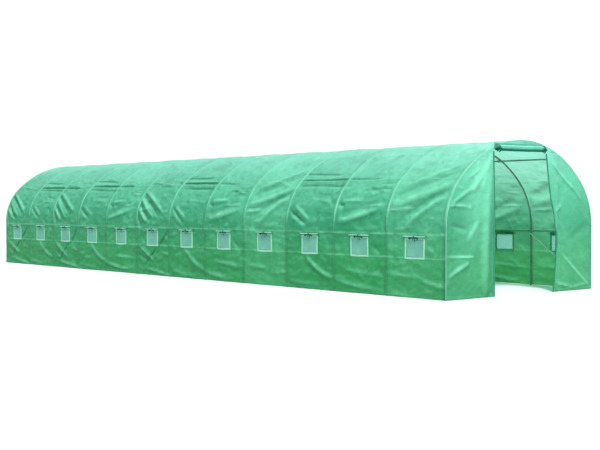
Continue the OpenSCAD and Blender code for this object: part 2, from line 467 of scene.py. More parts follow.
class Graph:
    """A node tree with short ways to add nodes and join them."""

    def __init__(self, tree: bpy.types.NodeTree) -> None:
        """Takes the tree to build in."""
        self.tree = tree

    def add(
        self, kind: str, inputs: Optional[dict[Union[str, int], object]] = None, **settings: object
    ) -> bpy.types.Node:
        """Adds a node.

        Args:
            kind: The node's type.
            inputs: A value or another node's output for each input.
            settings: The node's properties.

        Returns:
            The node.
        """
        node = self.tree.nodes.new(kind)
        for key, value in settings.items():
            setattr(node, key, value)
        for key, value in (inputs or {}).items():
            if isinstance(value, bpy.types.NodeSocket):
                self.tree.links.new(value, node.inputs[key])
            else:
                node.inputs[key].default_value = value
        return node

    def math(self, operation: str, *values: Number, clamp: bool = False) -> Socket:
        """What a Math node works out from its inputs, kept from 0 to 1 if it is clamped."""
        node = self.add("ShaderNodeMath", dict(enumerate(values)), operation=operation, use_clamp=clamp)
        return node.outputs[0]

    def times(self, first: Number, second: Number, clamp: bool = False) -> Socket:
        """The product of two numbers."""
        return self.math("MULTIPLY", first, second, clamp=clamp)

    def plus(self, first: Number, second: Number, clamp: bool = False) -> Socket:
        """The sum of two numbers."""
        return self.math("ADD", first, second, clamp=clamp)

    def bump(self, height: Socket, strength: float) -> Socket:
        """The normal of a relief that is given in metres."""
        inputs = {"Height": height, "Strength": strength, "Distance": 1.0}
        return self.add("ShaderNodeBump", inputs).outputs[0]

    def blend(self, share: Number, first: object, second: object) -> Socket:
        """A colour between two others, by the share of the second."""
        inputs = {0: share, 6: self.opaque(first), 7: self.opaque(second)}
        return self.add("ShaderNodeMix", inputs, data_type="RGBA", clamp_factor=True).outputs[2]

    def mix(self, share: float, first: bpy.types.Node, second: bpy.types.Node) -> Socket:
        """A mix of two shaders, by the share of the second."""
        inputs = {0: share, 1: first.outputs[0], 2: second.outputs[0]}
        return self.add("ShaderNodeMixShader", inputs).outputs[0]

    def mottle(self, patches: Socket, base: float, strength: float, first: Colour, second: Colour) -> Socket:
        """A colour that wanders between two others by cloudy patches."""
        return self.blend(self.plus(base, self.times(patches, strength), clamp=True), first, second)

    def surface(
        self, tone: Socket, roughness: Number, normal: Socket, more: Optional[dict[str, Number]] = None
    ) -> bpy.types.Node:
        """A principled surface, with further inputs by name."""
        inputs = {"Base Color": tone, "Roughness": roughness, "Normal": normal, **(more or {})}
        return self.add("ShaderNodeBsdfPrincipled", inputs)

    def place(self) -> Socket:
        """Object coordinates."""
        return self.add("ShaderNodeTexCoord").outputs["Object"]

    def cloth(self) -> Socket:
        """Where a point is across and along the cloth, by its weave map."""
        return self.add("ShaderNodeUVMap", uv_map=WEAVE_MAP).outputs[0]

    def painted(self, name: str, strength: float) -> Socket:
        """A mark stored at each vertex, times its strength and kept from 0 to 1."""
        stored = self.add("ShaderNodeAttribute", attribute_name=name).outputs["Fac"]
        return self.times(stored, strength, clamp=True)

    def patchy(self, where: Socket, scale: float) -> Socket:
        """Cloudy patches around zero."""
        inputs = {"Vector": where, "Scale": scale}
        return self.add("ShaderNodeGroup", inputs, node_tree=Effects.patches()).outputs[0]

    def woven(self, where: Socket, pitch: float) -> bpy.types.Node:
        """Woven tapes, with their height and their coarser grid."""
        return self.add("ShaderNodeGroup", {"Vector": where, "Pitch": pitch}, node_tree=Effects.weave())

    def moved(self, where: Socket, operation: str, by: object) -> Socket:
        """Coordinates multiplied by or added to others."""
        return self.add("ShaderNodeVectorMath", {0: where, 1: by}, operation=operation).outputs[0]

    def noise(self, where: Socket, scale: Number, detail: float, roughness: float = 0.5) -> Socket:
        """Smooth noise of one scale."""
        inputs = {"Vector": where, "Scale": scale, "Detail": detail, "Roughness": roughness}
        return self.add("ShaderNodeTexNoise", inputs).outputs[0]

    def ramp(self, share: Socket, stops: Sequence[tuple[float, Colour]]) -> Socket:
        """A colour that runs through several stops.

        Args:
            share: Where along the stops to read.
            stops: Places from 0 to 1, with their colours.

        Returns:
            The colour.
        """
        node = self.add("ShaderNodeValToRGB", {0: share})
        band = node.color_ramp
        while len(band.elements) < len(stops):
            band.elements.new(1.0)
        for element, (place, colour) in zip(band.elements, stops):
            element.position = place
            element.color = (*colour, 1.0)
        return node.outputs[0]

    @staticmethod
    def opaque(value: object) -> object:
        """A colour with its alpha, or the output itself."""
        return value if isinstance(value, bpy.types.NodeSocket) else (*value, 1.0)


def new_group(name: str, number: str, outputs: Sequence[str]) -> tuple[Graph, Socket, Socket, bpy.types.Node]:
    """Starts a shared shader group that reads a vector and a number.

    Args:
        name: The group's name.
        number: The number's name.
        outputs: The outputs' names, which are all numbers.

    Returns:
        The group's graph, its vector, its number and its output node.
    """
    tree = bpy.data.node_groups.new(name, "ShaderNodeTree")
    tree.interface.new_socket(name="Vector", in_out="INPUT", socket_type="NodeSocketVector")
    tree.interface.new_socket(name=number, in_out="INPUT", socket_type="NodeSocketFloat")
    for label in outputs:
        tree.interface.new_socket(name=label, in_out="OUTPUT", socket_type="NodeSocketFloat")
    graph = Graph(tree)
    given = graph.add("NodeGroupInput").outputs
    return graph, given["Vector"], given[number], graph.add("NodeGroupOutput")


class Effects:
    """Shader groups that several finishes share, each built once."""

    @staticmethod
    @cache
    def weave() -> bpy.types.NodeTree:
        """Flat tapes woven over and under each other, of a given pitch, and a grid on every fourth."""
        graph, vector, pitch, leave = new_group("Woven tapes", "Pitch", ["Height", "Grid"])
        parts = graph.add("ShaderNodeSeparateXYZ", {0: vector}).outputs
        turns = [graph.math("DIVIDE", parts[axis], pitch) for axis in (0, 1)]
        waves = [graph.math("SINE", graph.times(turn, math.pi)) for turn in turns]
        crowns = [graph.math("ABSOLUTE", wave) for wave in waves]
        over = graph.math("GREATER_THAN", graph.times(*waves), 0.0)
        lift = graph.times(graph.math("SUBTRACT", *crowns), over)
        slow = [graph.math("PINGPONG", graph.times(turn, 0.25), 0.5) for turn in turns]
        lines = [graph.math("GREATER_THAN", wave, 0.46) for wave in slow]
        graph.tree.links.new(graph.plus(crowns[1], lift), leave.inputs["Height"])
        graph.tree.links.new(graph.math("MAXIMUM", *lines), leave.inputs["Grid"])
        return graph.tree

    @staticmethod
    @cache
    def patches() -> bpy.types.NodeTree:
        """Broad and fine cloudy patches around zero."""
        graph, vector, scale, leave = new_group("Cloudy patches", "Scale", ["Patches"])
        fine = graph.noise(vector, graph.times(scale, 7.0), 2.0)
        both = graph.plus(graph.noise(vector, scale, 4.0), graph.times(fine, 0.35))
        graph.tree.links.new(graph.math("SUBTRACT", both, 0.675), leave.inputs["Patches"])
        return graph.tree


class Finish:
    """A finish that is made once, when the first piece asks for it."""

    name: str = "finish"
    slot: str = ""

    @cache
    def material(self) -> bpy.types.Material:
        """The finish's material, built on first use."""
        material = bpy.data.materials.new(self.name)
        material.use_nodes = True
        material.node_tree.nodes.clear()
        graph = Graph(material.node_tree)
        graph.add("ShaderNodeOutputMaterial", {"Surface": self.shade(graph)})
        return material

    def shade(self, graph: Graph) -> Socket:
        """Builds the finish and returns its shader."""
        raise NotImplementedError


@dataclass(frozen=True)
class GreenSheet(Finish):
    """Translucent woven sheet, painted darker and greener towards the ground and paler towards the crown as
    the light from above falls, with painted highlight and painted shade from its marks.
    """

    name: str = "green_woven_sheet"
    slot: str = "green_sheet"
    # foot, wall, shoulder and crown make a ramp by height that is painted light: darker and greener low down,
    # paler at the crown where the light from above falls.
    foot: Colour = (0.032, 0.392, 0.13)
    wall: Colour = (0.034, 0.398, 0.202)
    shoulder: Colour = (0.152, 0.65, 0.44)
    crown: Colour = (0.33, 0.85, 0.7)
    # The paler tone of the random patches and the weave, also used as painted highlight; below it the darker
    # tone of the random patches, also used as painted shade.
    pale_and_highlight: Colour = (0.35, 0.96, 0.7)
    dark_and_shade: Colour = (0.006, 0.2, 0.095)
    lit_foot: Colour = (0.17, 0.7, 0.36)
    lit_wall: Colour = (0.4, 0.85, 0.64)
    lit_crown: Colour = (0.64, 1.0, 0.92)
    lit_share: float = 0.55
    lit_creases: float = 0.0
    see_through: float = 0.52
    tape_pitch: float = 0.0025
    roughness: float = 0.4
    gloss: float = 0.36
    patch: float = 0.8
    crumple_h: float = 0.021
    facet_h: float = 0.026
    tape_h: float = 0.00025
    top: float = 2.0

    def shade(self, graph: Graph) -> Socket:
        """Builds the sheet's tone, weave and glow.

        Args:
            graph: The material's graph.

        Returns:
            Its shader.
        """
        where = graph.place()
        height = graph.add("ShaderNodeSeparateXYZ", {0: where}).outputs[2]
        wander = graph.times(graph.patchy(where, 1.1), 0.105)
        level = graph.plus(graph.math("DIVIDE", height, self.top), wander)
        # Painted light: the tone runs from darker greens at the ground to a pale crown, as the light from
        # above falls.
        stops = [(0.22, self.foot), (0.46, self.wall), (0.7, self.shoulder), (0.95, self.crown)]
        patches = graph.times(graph.patchy(where, 2.6), graph.plus(0.45, graph.times(level, 0.6)))
        tapes = graph.woven(graph.cloth(), self.tape_pitch).outputs
        tone = graph.ramp(level, stops)
        tone = graph.blend(graph.times(patches, self.patch, clamp=True), tone, self.pale_and_highlight)
        tone = graph.blend(graph.times(patches, -self.patch, clamp=True), tone, self.dark_and_shade)
        tone = graph.blend(graph.times(tapes["Grid"], 0.1), tone, self.pale_and_highlight)
        # Painted shade and painted highlight, from the marks stored at the vertices.
        tone = graph.blend(graph.painted(SHADE, 0.55), tone, self.dark_and_shade)
        tone = graph.blend(graph.painted(PALE, 0.75), tone, self.pale_and_highlight)
        normal = self.crumpled(graph, where, tapes["Height"])
        rough = graph.plus(self.roughness, graph.times(patches, 0.25))
        outside = graph.surface(tone, rough, normal, {"Specular IOR Level": self.gloss})
        lit = graph.ramp(level, [(0.1, self.lit_foot), (0.45, self.lit_wall), (0.85, self.lit_crown)])
        # Painted light on the glow as well: painted highlight whitens it and painted shade darkens it.
        if self.lit_creases > 0:
            lit = graph.blend(graph.painted(PALE, self.lit_creases), lit, (1.0, 1.0, 1.0))
            lit = graph.blend(graph.painted(SHADE, 0.25 * self.lit_creases), lit, self.dark_and_shade)
        glow = graph.blend(self.lit_share, tone, lit)
        through = graph.add("ShaderNodeBsdfTranslucent", {"Color": glow, "Normal": normal})
        return graph.mix(self.see_through, outside, through)

    def crumpled(self, graph: Graph, where: Socket, tapes: Socket) -> Socket:
        """The normal of soft crumples, flat facets and woven tapes.

        Args:
            graph: Where it is built.
            where: Object coordinates.
            tapes: The height of the woven tapes.

        Returns:
            The normal.
        """
        finer = graph.moved(where, "MULTIPLY", (9.0, 9.0, 14.0))
        bent = graph.moved(finer, "ADD", graph.noise(finer, 0.6, 2.0))
        facets = graph.add("ShaderNodeTexVoronoi", {"Vector": bent, "Scale": 0.9}).outputs["Distance"]
        crumples = graph.times(graph.noise(finer, 1.0, 5.0, 0.62), self.crumple_h)
        relief = graph.plus(crumples, graph.times(facets, self.facet_h))
        return graph.bump(graph.plus(relief, graph.times(tapes, self.tape_h)), 0.8)


# The inner face of the sheet, which passes on the light that comes through it.
INNER_FACE = GreenSheet(
    name="green_sheet_inner_face",
    lit_foot=(0.74, 0.85, 0.62),
    lit_wall=(0.42, 0.72, 0.6),
    lit_crown=(1.0, 1.0, 1.0),
    lit_share=0.85,
    lit_creases=0.8,
    see_through=0.76,
)
# The end panels: a lighter copy of the sheet, painted light that keeps their mint tone further down, as the
# ends face the light.
LIGHTER_END_SHEET = GreenSheet(name="green_end_sheet_painted_lighter", foot=(0.082, 0.475, 0.24), wall=(0.074, 0.475, 0.28))
# Sheet that is wound up small: a paler copy of the sheet that paints the light its rolls catch, with a dark
# tone for the painted shade under them.
PALE_SHEET = GreenSheet(
    name="pale_rolled_sheet",
    foot=(0.28, 0.78, 0.6),
    wall=(0.34, 0.84, 0.66),
    shoulder=(0.34, 0.84, 0.66),
    crown=(0.34, 0.84, 0.66),
    pale_and_highlight=(0.62, 0.96, 0.84),
    dark_and_shade=(0.01, 0.22, 0.13),
)
# Sheet that is wound up in many turns, which lets less light through: a darker copy of the sheet, partly
# painted shade, with its darkest tone for the painted shade under the roll.
ROLLED_SHEET = GreenSheet(
    name="green_rolled_sheet",
    shoulder=(0.08, 0.43, 0.31),
    crown=(0.095, 0.47, 0.35),
    pale_and_highlight=(0.26, 0.74, 0.58),
    dark_and_shade=(0.004, 0.12, 0.07),
    see_through=0.15,
    roughness=0.6,
    gloss=0.1,
)


@dataclass(frozen=True)
class PaleBinding(Finish):
    """Folded mint tape with two rows of stitches."""

    name: str = "pale_sewn_binding"
    slot: str = "pale_binding"
    tape: Colour = (0.3, 0.72, 0.54)
    thread: Colour = (0.48, 0.86, 0.7)

    def shade(self, graph: Graph) -> Socket:
        """Builds the tape.

        Args:
            graph: The material's graph.

        Returns:
            Its shader.
        """
        where = graph.place()
        tone = graph.mottle(graph.patchy(where, 14.0), 0.25, 1.2, self.tape, self.thread)
        ribs = graph.woven(where, 0.0016).outputs["Height"]
        outside = graph.surface(tone, 0.6, graph.bump(graph.times(ribs, 0.0003), 0.6))
        return graph.mix(0.25, outside, graph.add("ShaderNodeBsdfTranslucent", {"Color": tone}))


# The greener tape of the round piping.
GREEN_PIPING = PaleBinding(name="green_sewn_piping", tape=(0.22, 0.71, 0.5), thread=(0.42, 0.88, 0.69))


@dataclass(frozen=True)
class InsectMesh(Finish):
    """Fine open net, seen mostly as a pale haze."""

    name: str = "insect_net"
    slot: str = "insect_mesh"
    thread: Colour = (0.26, 0.56, 0.49)
    knot: Colour = (0.14, 0.33, 0.3)
    lit: Colour = (0.42, 0.88, 0.76)
    pitch: float = 0.0045

    def shade(self, graph: Graph) -> Socket:
        """Builds the net, with small holes between its threads.

        Args:
            graph: The material's graph.

        Returns:
            Its shader.
        """
        net = graph.woven(graph.cloth(), self.pitch).outputs["Height"]
        tone = graph.mottle(graph.patchy(graph.place(), 9.0), 0.4, 1.4, self.thread, self.knot)
        cover = graph.math("SUBTRACT", 1.0, graph.times(net, 0.38))
        threads = graph.surface(tone, 0.7, graph.bump(graph.times(net, 0.0005), 0.5), {"Alpha": cover})
        return graph.mix(0.4, threads, graph.add("ShaderNodeBsdfTranslucent", {"Color": (*self.lit, 1.0)}))


@dataclass(frozen=True)
class DarkWebbing(Finish):
    """Dark green ribbed webbing."""

    name: str = "dark_green_webbing"
    slot: str = "dark_trim"
    web: Colour = (0.002, 0.09, 0.046)
    worn: Colour = (0.012, 0.18, 0.105)
    rib: float = 0.0018
    gloss: float = 0.08

    def shade(self, graph: Graph) -> Socket:
        """Builds the webbing.

        Args:
            graph: The material's graph.

        Returns:
            Its shader.
        """
        where = graph.place()
        patches = graph.patchy(where, 30.0)
        tone = graph.mottle(patches, 0.3, 2.0, self.web, self.worn)
        ribs = graph.woven(where, self.rib).outputs["Height"]
        normal = graph.bump(graph.times(ribs, 0.0004), 0.7)
        rough = graph.plus(0.72, graph.times(patches, 0.3))
        return graph.surface(tone, rough, normal, {"Specular IOR Level": self.gloss}).outputs[0]


# Woven zip tape, dyed like the sheet.
ZIP_TAPE = DarkWebbing(
    name="green_zip_tape",
    slot="green_sheet",
    web=(0.02, 0.19, 0.11),
    worn=(0.05, 0.3, 0.19),
    rib=0.0012,
)


@dataclass(frozen=True)
class GalvanisedTube(Finish):
    """Zinc-coated steel with a soft spangle and dull patches."""

    name: str = "galvanised_tube"
    slot: str = "steel_tube"
    # The zinc is painted dark and green: painted shade, and a painted reflection of the green cloth round the
    # tubes.
    zinc: Colour = (0.13, 0.22, 0.18)
    bright: Colour = (0.34, 0.46, 0.4)
    metallic: float = 0.8

    def shade(self, graph: Graph) -> Socket:
        """Builds the zinc.

        Args:
            graph: The material's graph.

        Returns:
            Its shader.
        """
        where = graph.place()
        spangle = graph.add("ShaderNodeTexVoronoi", {"Vector": where, "Scale": 160.0}).outputs["Distance"]
        patches = graph.patchy(where, 9.0)
        share = graph.plus(graph.times(spangle, 0.6), graph.times(patches, 1.3), clamp=True)
        tone = graph.blend(share, self.zinc, self.bright)
        rough = graph.plus(0.4, graph.times(patches, 0.5))
        normal = graph.bump(graph.times(graph.noise(where, 400.0, 2.0), 0.0002), 0.4)
        return graph.surface(tone, rough, normal, {"Metallic": self.metallic}).outputs[0]


# The corner braces' zinc, painted much paler: a painted highlight along the thin braces.
HIGHLIGHTED_BRACE_TUBE = GalvanisedTube(
    name="brace_tube_painted_highlight", zinc=(0.42, 0.62, 0.52), bright=(0.7, 0.86, 0.78), metallic=0.4
)


@dataclass(frozen=True)
class StageFloor(Finish):
    """Plain pale studio floor."""

    name: str = "pale_floor"
    tone: Colour = (0.93, 0.93, 0.93)

    def shade(self, graph: Graph) -> Socket:
        """Builds the floor."""
        inputs = {"Base Color": (*self.tone, 1.0), "Roughness": 0.9}
        return graph.add("ShaderNodeBsdfPrincipled", inputs).outputs[0]


def hand_over(
    piece: Piece, finish: Finish, replaces: Sequence[str] = (), inside: Optional[Finish] = None
) -> Piece:
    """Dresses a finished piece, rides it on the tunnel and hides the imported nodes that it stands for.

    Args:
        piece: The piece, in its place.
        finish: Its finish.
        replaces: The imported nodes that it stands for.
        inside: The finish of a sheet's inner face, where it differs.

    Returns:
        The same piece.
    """
    piece.data.materials.clear()
    piece.data.materials.append(finish.material())
    if inside is not None:
        piece.data.materials.append(inside.material())
        inner = np.zeros(len(piece.data.polygons), np.int32)
        piece.data.attributes[INNER].data.foreach_get("value", inner)
        piece.data.polygons.foreach_set("material_index", inner)
    if INNER in piece.data.attributes:
        piece.data.attributes.remove(piece.data.attributes[INNER])
    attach(piece, BODY)
    if replaces:
        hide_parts(*replaces)
    log.info("%s: %d faces", piece.name, len(piece.data.polygons))
    return piece


# ---- the tunnel's shape


@dataclass(frozen=True)
class Arch:
    """The cover's outline: straight legs, a bend over each shoulder and one wide crown bend."""

    half_w: float
    leg_h: float
    ridge_h: float
    shoulder_r: float = 0.9

    @property
    def shoulder_x(self) -> float:
        """How far each shoulder's centre stands from the middle."""
        return self.half_w - self.shoulder_r

    @property
    def crown_r(self) -> float:
        """Radius of the crown bend, tangent to both shoulders and the ridge."""
        rise = self.ridge_h - self.leg_h
        spare = self.half_w**2 + rise**2 - 2 * self.half_w * self.shoulder_r
        return spare / (2 * (rise - self.shoulder_r))

    @property
    def crown_z(self) -> float:
        """Height of the crown bend's centre."""
        return self.ridge_h - self.crown_r

    @property
    def bend(self) -> float:
        """The angle that each shoulder turns through."""
        return math.atan2(self.leg_h - self.crown_z, self.shoulder_x)

    @property
    def side_l(self) -> float:
        """Cloth from the ground to the end of a shoulder bend."""
        return self.leg_h + self.shoulder_r * self.bend

    @property
    def girth(self) -> float:
        """Cloth from the ground on one side to the ground on the other."""
        return 2 * self.side_l + self.crown_r * (math.pi - 2 * self.bend)

    def at(self, cloth: Array) -> tuple[Array, Array]:
        """Points of the outline and the directions out of it.

        Args:
            cloth: Distances along the outline, from the left foot.

        Returns:
            The (x, z) of each point and of each outward direction.
        """
        near = np.minimum(cloth, self.girth - cloth)
        turned = np.clip((near - self.leg_h) / self.shoulder_r, 0.0, self.bend)
        over = np.maximum(near - self.side_l, 0.0) / self.crown_r + self.bend
        on_crown = near > self.side_l
        angle = np.where(on_crown, over, turned)
        radius = np.where(on_crown, self.crown_r, self.shoulder_r)
        centre_x = np.where(on_crown, 0.0, self.shoulder_x)
        centre_z = np.where(on_crown, self.crown_z, np.minimum(near, self.leg_h))
        hand = np.where(cloth <= self.girth / 2, -1.0, 1.0)
        out = np.stack([hand * np.cos(angle), np.sin(angle)], 1)
        point = np.stack([hand * centre_x, centre_z], 1) + out * radius[:, None]
        return point, out

    def half_width(self, height: Array) -> Array:
        """Half the outline's width at each height.

        Args:
            height: The heights.

        Returns:
            The half widths.
        """
        shoulder_top = self.leg_h + self.shoulder_r * math.sin(self.bend)
        over_leg = np.clip(height - self.leg_h, 0.0, self.shoulder_r)
        on_shoulder = self.shoulder_x + np.sqrt(self.shoulder_r**2 - over_leg**2)
        on_crown = np.sqrt(np.maximum(self.crown_r**2 - (height - self.crown_z) ** 2, 0.0))
        return np.where(height > shoulder_top, on_crown, on_shoulder)


@dataclass(frozen=True)
class Tunnel:
    """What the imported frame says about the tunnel's size."""

    arch: Arch
    y_front: float
    y_rear: float
    hoops: tuple[float, ...]
    window_low: float
    window_high: float
    window_half_w: float
    door_half_w: float
    door_h: float

    @classmethod
    def measure(cls) -> "Tunnel":
        """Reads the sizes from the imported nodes' boxes."""
        side_low, side_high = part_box("side_cover_right")
        crown_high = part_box("crown_cover")[1]
        hoops = [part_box(name) for name in sorted(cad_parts) if name.startswith("hoop_")]
        net_low, net_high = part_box("window_mesh_left")
        first_window = sum(corner.y for box in hoops[:2] for corner in box) / 4
        head_low, head_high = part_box("front_head_panel")
        arch = Arch(half_w=side_high.x, leg_h=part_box("shoulder_cover_right")[0].z, ridge_h=crown_high.z)
        return cls(
            arch=arch,
            y_front=side_low.y,
            y_rear=side_high.y,
            hoops=tuple((low.y + high.y) / 2 for low, high in hoops),
            window_low=net_low.z,
            window_high=net_high.z,
            window_half_w=first_window - net_low.y,
            door_half_w=head_high.x,
            door_h=head_low.z,
        )

    @property
    def bay(self) -> float:
        """Distance between hoops."""
        return self.hoops[1] - self.hoops[0]

    @property
    def hoop_names(self) -> list[str]:
        """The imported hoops' names, from the front."""
        return [f"hoop_{number:02d}" for number in range(1, len(self.hoops) + 1)]

    @property
    def window_tall(self) -> float:
        """Height of a window from its sill to its head."""
        return self.window_high - self.window_low

    @property
    def window_z(self) -> float:
        """Height of a window's middle above the ground."""
        return (self.window_low + self.window_high) / 2

    @property
    def windows(self) -> list[float]:
        """Y of the middle of each window."""
        return [(one + two) / 2 for one, two in zip(self.hoops, self.hoops[1:])]

    def end_y(self, end: End) -> float:
        """Y of the outside of an end cover."""
        return self.y_front if end is End.FRONT else self.y_rear


def crossings(low: float, high: float, step: float, fixed: Sequence[float]) -> Array:
    """Distances for a grid of cloth, closer where something has to fall on a crossing.

    Args:
        low: The first distance.
        high: The last.
        step: The widest gap allowed.
        fixed: Distances that have to be there.

    Returns:
        The distances in order.
    """
    marks = sorted({round(mark, 5) for mark in fixed if low + 1e-4 < mark < high - 1e-4} | {low, high})
    rows = [np.linspace(a, b, max(1, math.ceil((b - a) / step)) + 1)[:-1] for a, b in zip(marks, marks[1:])]
    return np.append(np.concatenate(rows), high)


# ---- folds


@dataclass(frozen=True)
class Fold:
    """One soft fold: a ridge, or a valley where its height is negative.

    A bay's fold runs between points given as a share of the bay, from the hoop nearer the front,
    and metres of cloth up from the ground. An end panel's runs between points in metres.
    """

    start: tuple[float, float]
    end: tuple[float, float]
    height: float
    width: float
    bow: float = 0.0
    # pale is the painted highlight along the fold's crest, and shade the painted shade below it.
    pale: float = 0.0
    shade: float = 0.0


@dataclass
class Relief:
    """How far a stretch of cloth stands out of its plain shape, with its painted highlight and painted shade.
    """

    lift: Array
    pale: Array
    shade: Array

    UPPER_FLANK = 0.62
    LOWER_FLANK = 1.25
    RISE = 1.5
    CREST_PALE = 1.25
    FOOT_SHADE = 1.6

    @classmethod
    def flat(cls, count: int) -> "Relief":
        """Cloth with no relief yet."""
        return cls(*np.zeros((3, count)))

    def add_fold(
        self, fold: Fold, u: Array, v: Array, stretch: float = 1.0, where: Union[slice, Array] = slice(None)
    ) -> None:
        """Adds one fold, sharper on its upper flank, that fades out at both ends.

        Args:
            fold: The fold.
            u: First coordinate of every crossing, in the fold's terms.
            v: Second coordinate.
            stretch: Metres in one unit of u.
            where: The crossings to change.
        """
        x, z = (u[where] - fold.start[0]) * stretch, v[where] - fold.start[1]
        run = np.array([(fold.end[0] - fold.start[0]) * stretch, fold.end[1] - fold.start[1]])
        length = float(np.linalg.norm(run))
        run /= length
        along = (x * run[0] + z * run[1]) / length
        aside = (z * run[0] - x * run[1]) * (-1.0 if run[0] < 0 else 1.0)
        aside = aside - fold.bow * 4 * along * (1 - along)
        taper = np.sqrt(np.clip(4 * along * (1 - along), 0.0, 1.0))
        flank = fold.width * np.where(aside > 0, self.UPPER_FLANK, self.LOWER_FLANK)
        self.lift[where] += self.RISE * fold.height * taper * bell(aside, flank)
        # Painted highlight along the fold's crest, and painted shade below its foot.
        self.pale[where] += self.CREST_PALE * fold.pale * taper * bell(aside, max(fold.width * 0.45, 0.01))
        below = aside + fold.width * (0.9 if fold.height > 0 else 0.0)
        self.shade[where] += self.FOOT_SHADE * fold.shade * taper * bell(below, max(fold.width * 0.5, 0.013))

    def mark_leans(self, first: Array, second: Array, climb: Array, pale: float, shade: float) -> None:
        """Marks cloth that leans back to the light as pale, and cloth that turns down as shaded.

        Args:
            first: The first crossing distance of every point, as the strip was laid.
            second: Its second crossing distance.
            climb: 1 where the second distance climbs, -1 where it runs down, less where it is level.
            pale: How strongly it pales.
            shade: How strongly it is shaded.
        """
        columns, column = np.unique(first, return_inverse=True)
        rows, row = np.unique(second, return_inverse=True)
        grid = np.zeros((len(rows), len(columns)))
        grid[row, column] = self.lift
        light = -np.gradient(grid, rows, axis=0)[row, column] * climb
        light -= 0.35 * np.gradient(grid, columns, axis=1)[row, column]
        self.pale += pale * np.clip(light, 0.0, 0.5)
        self.shade += shade * np.clip(-light, 0.0, 0.5)

    def keep_within(self, inwards: float, outwards: float) -> None:
        """Rounds off what would stand further in or out than a limit."""
        limit = np.where(self.lift < 0, inwards, outwards)
        self.lift = limit * np.tanh(self.lift / limit)


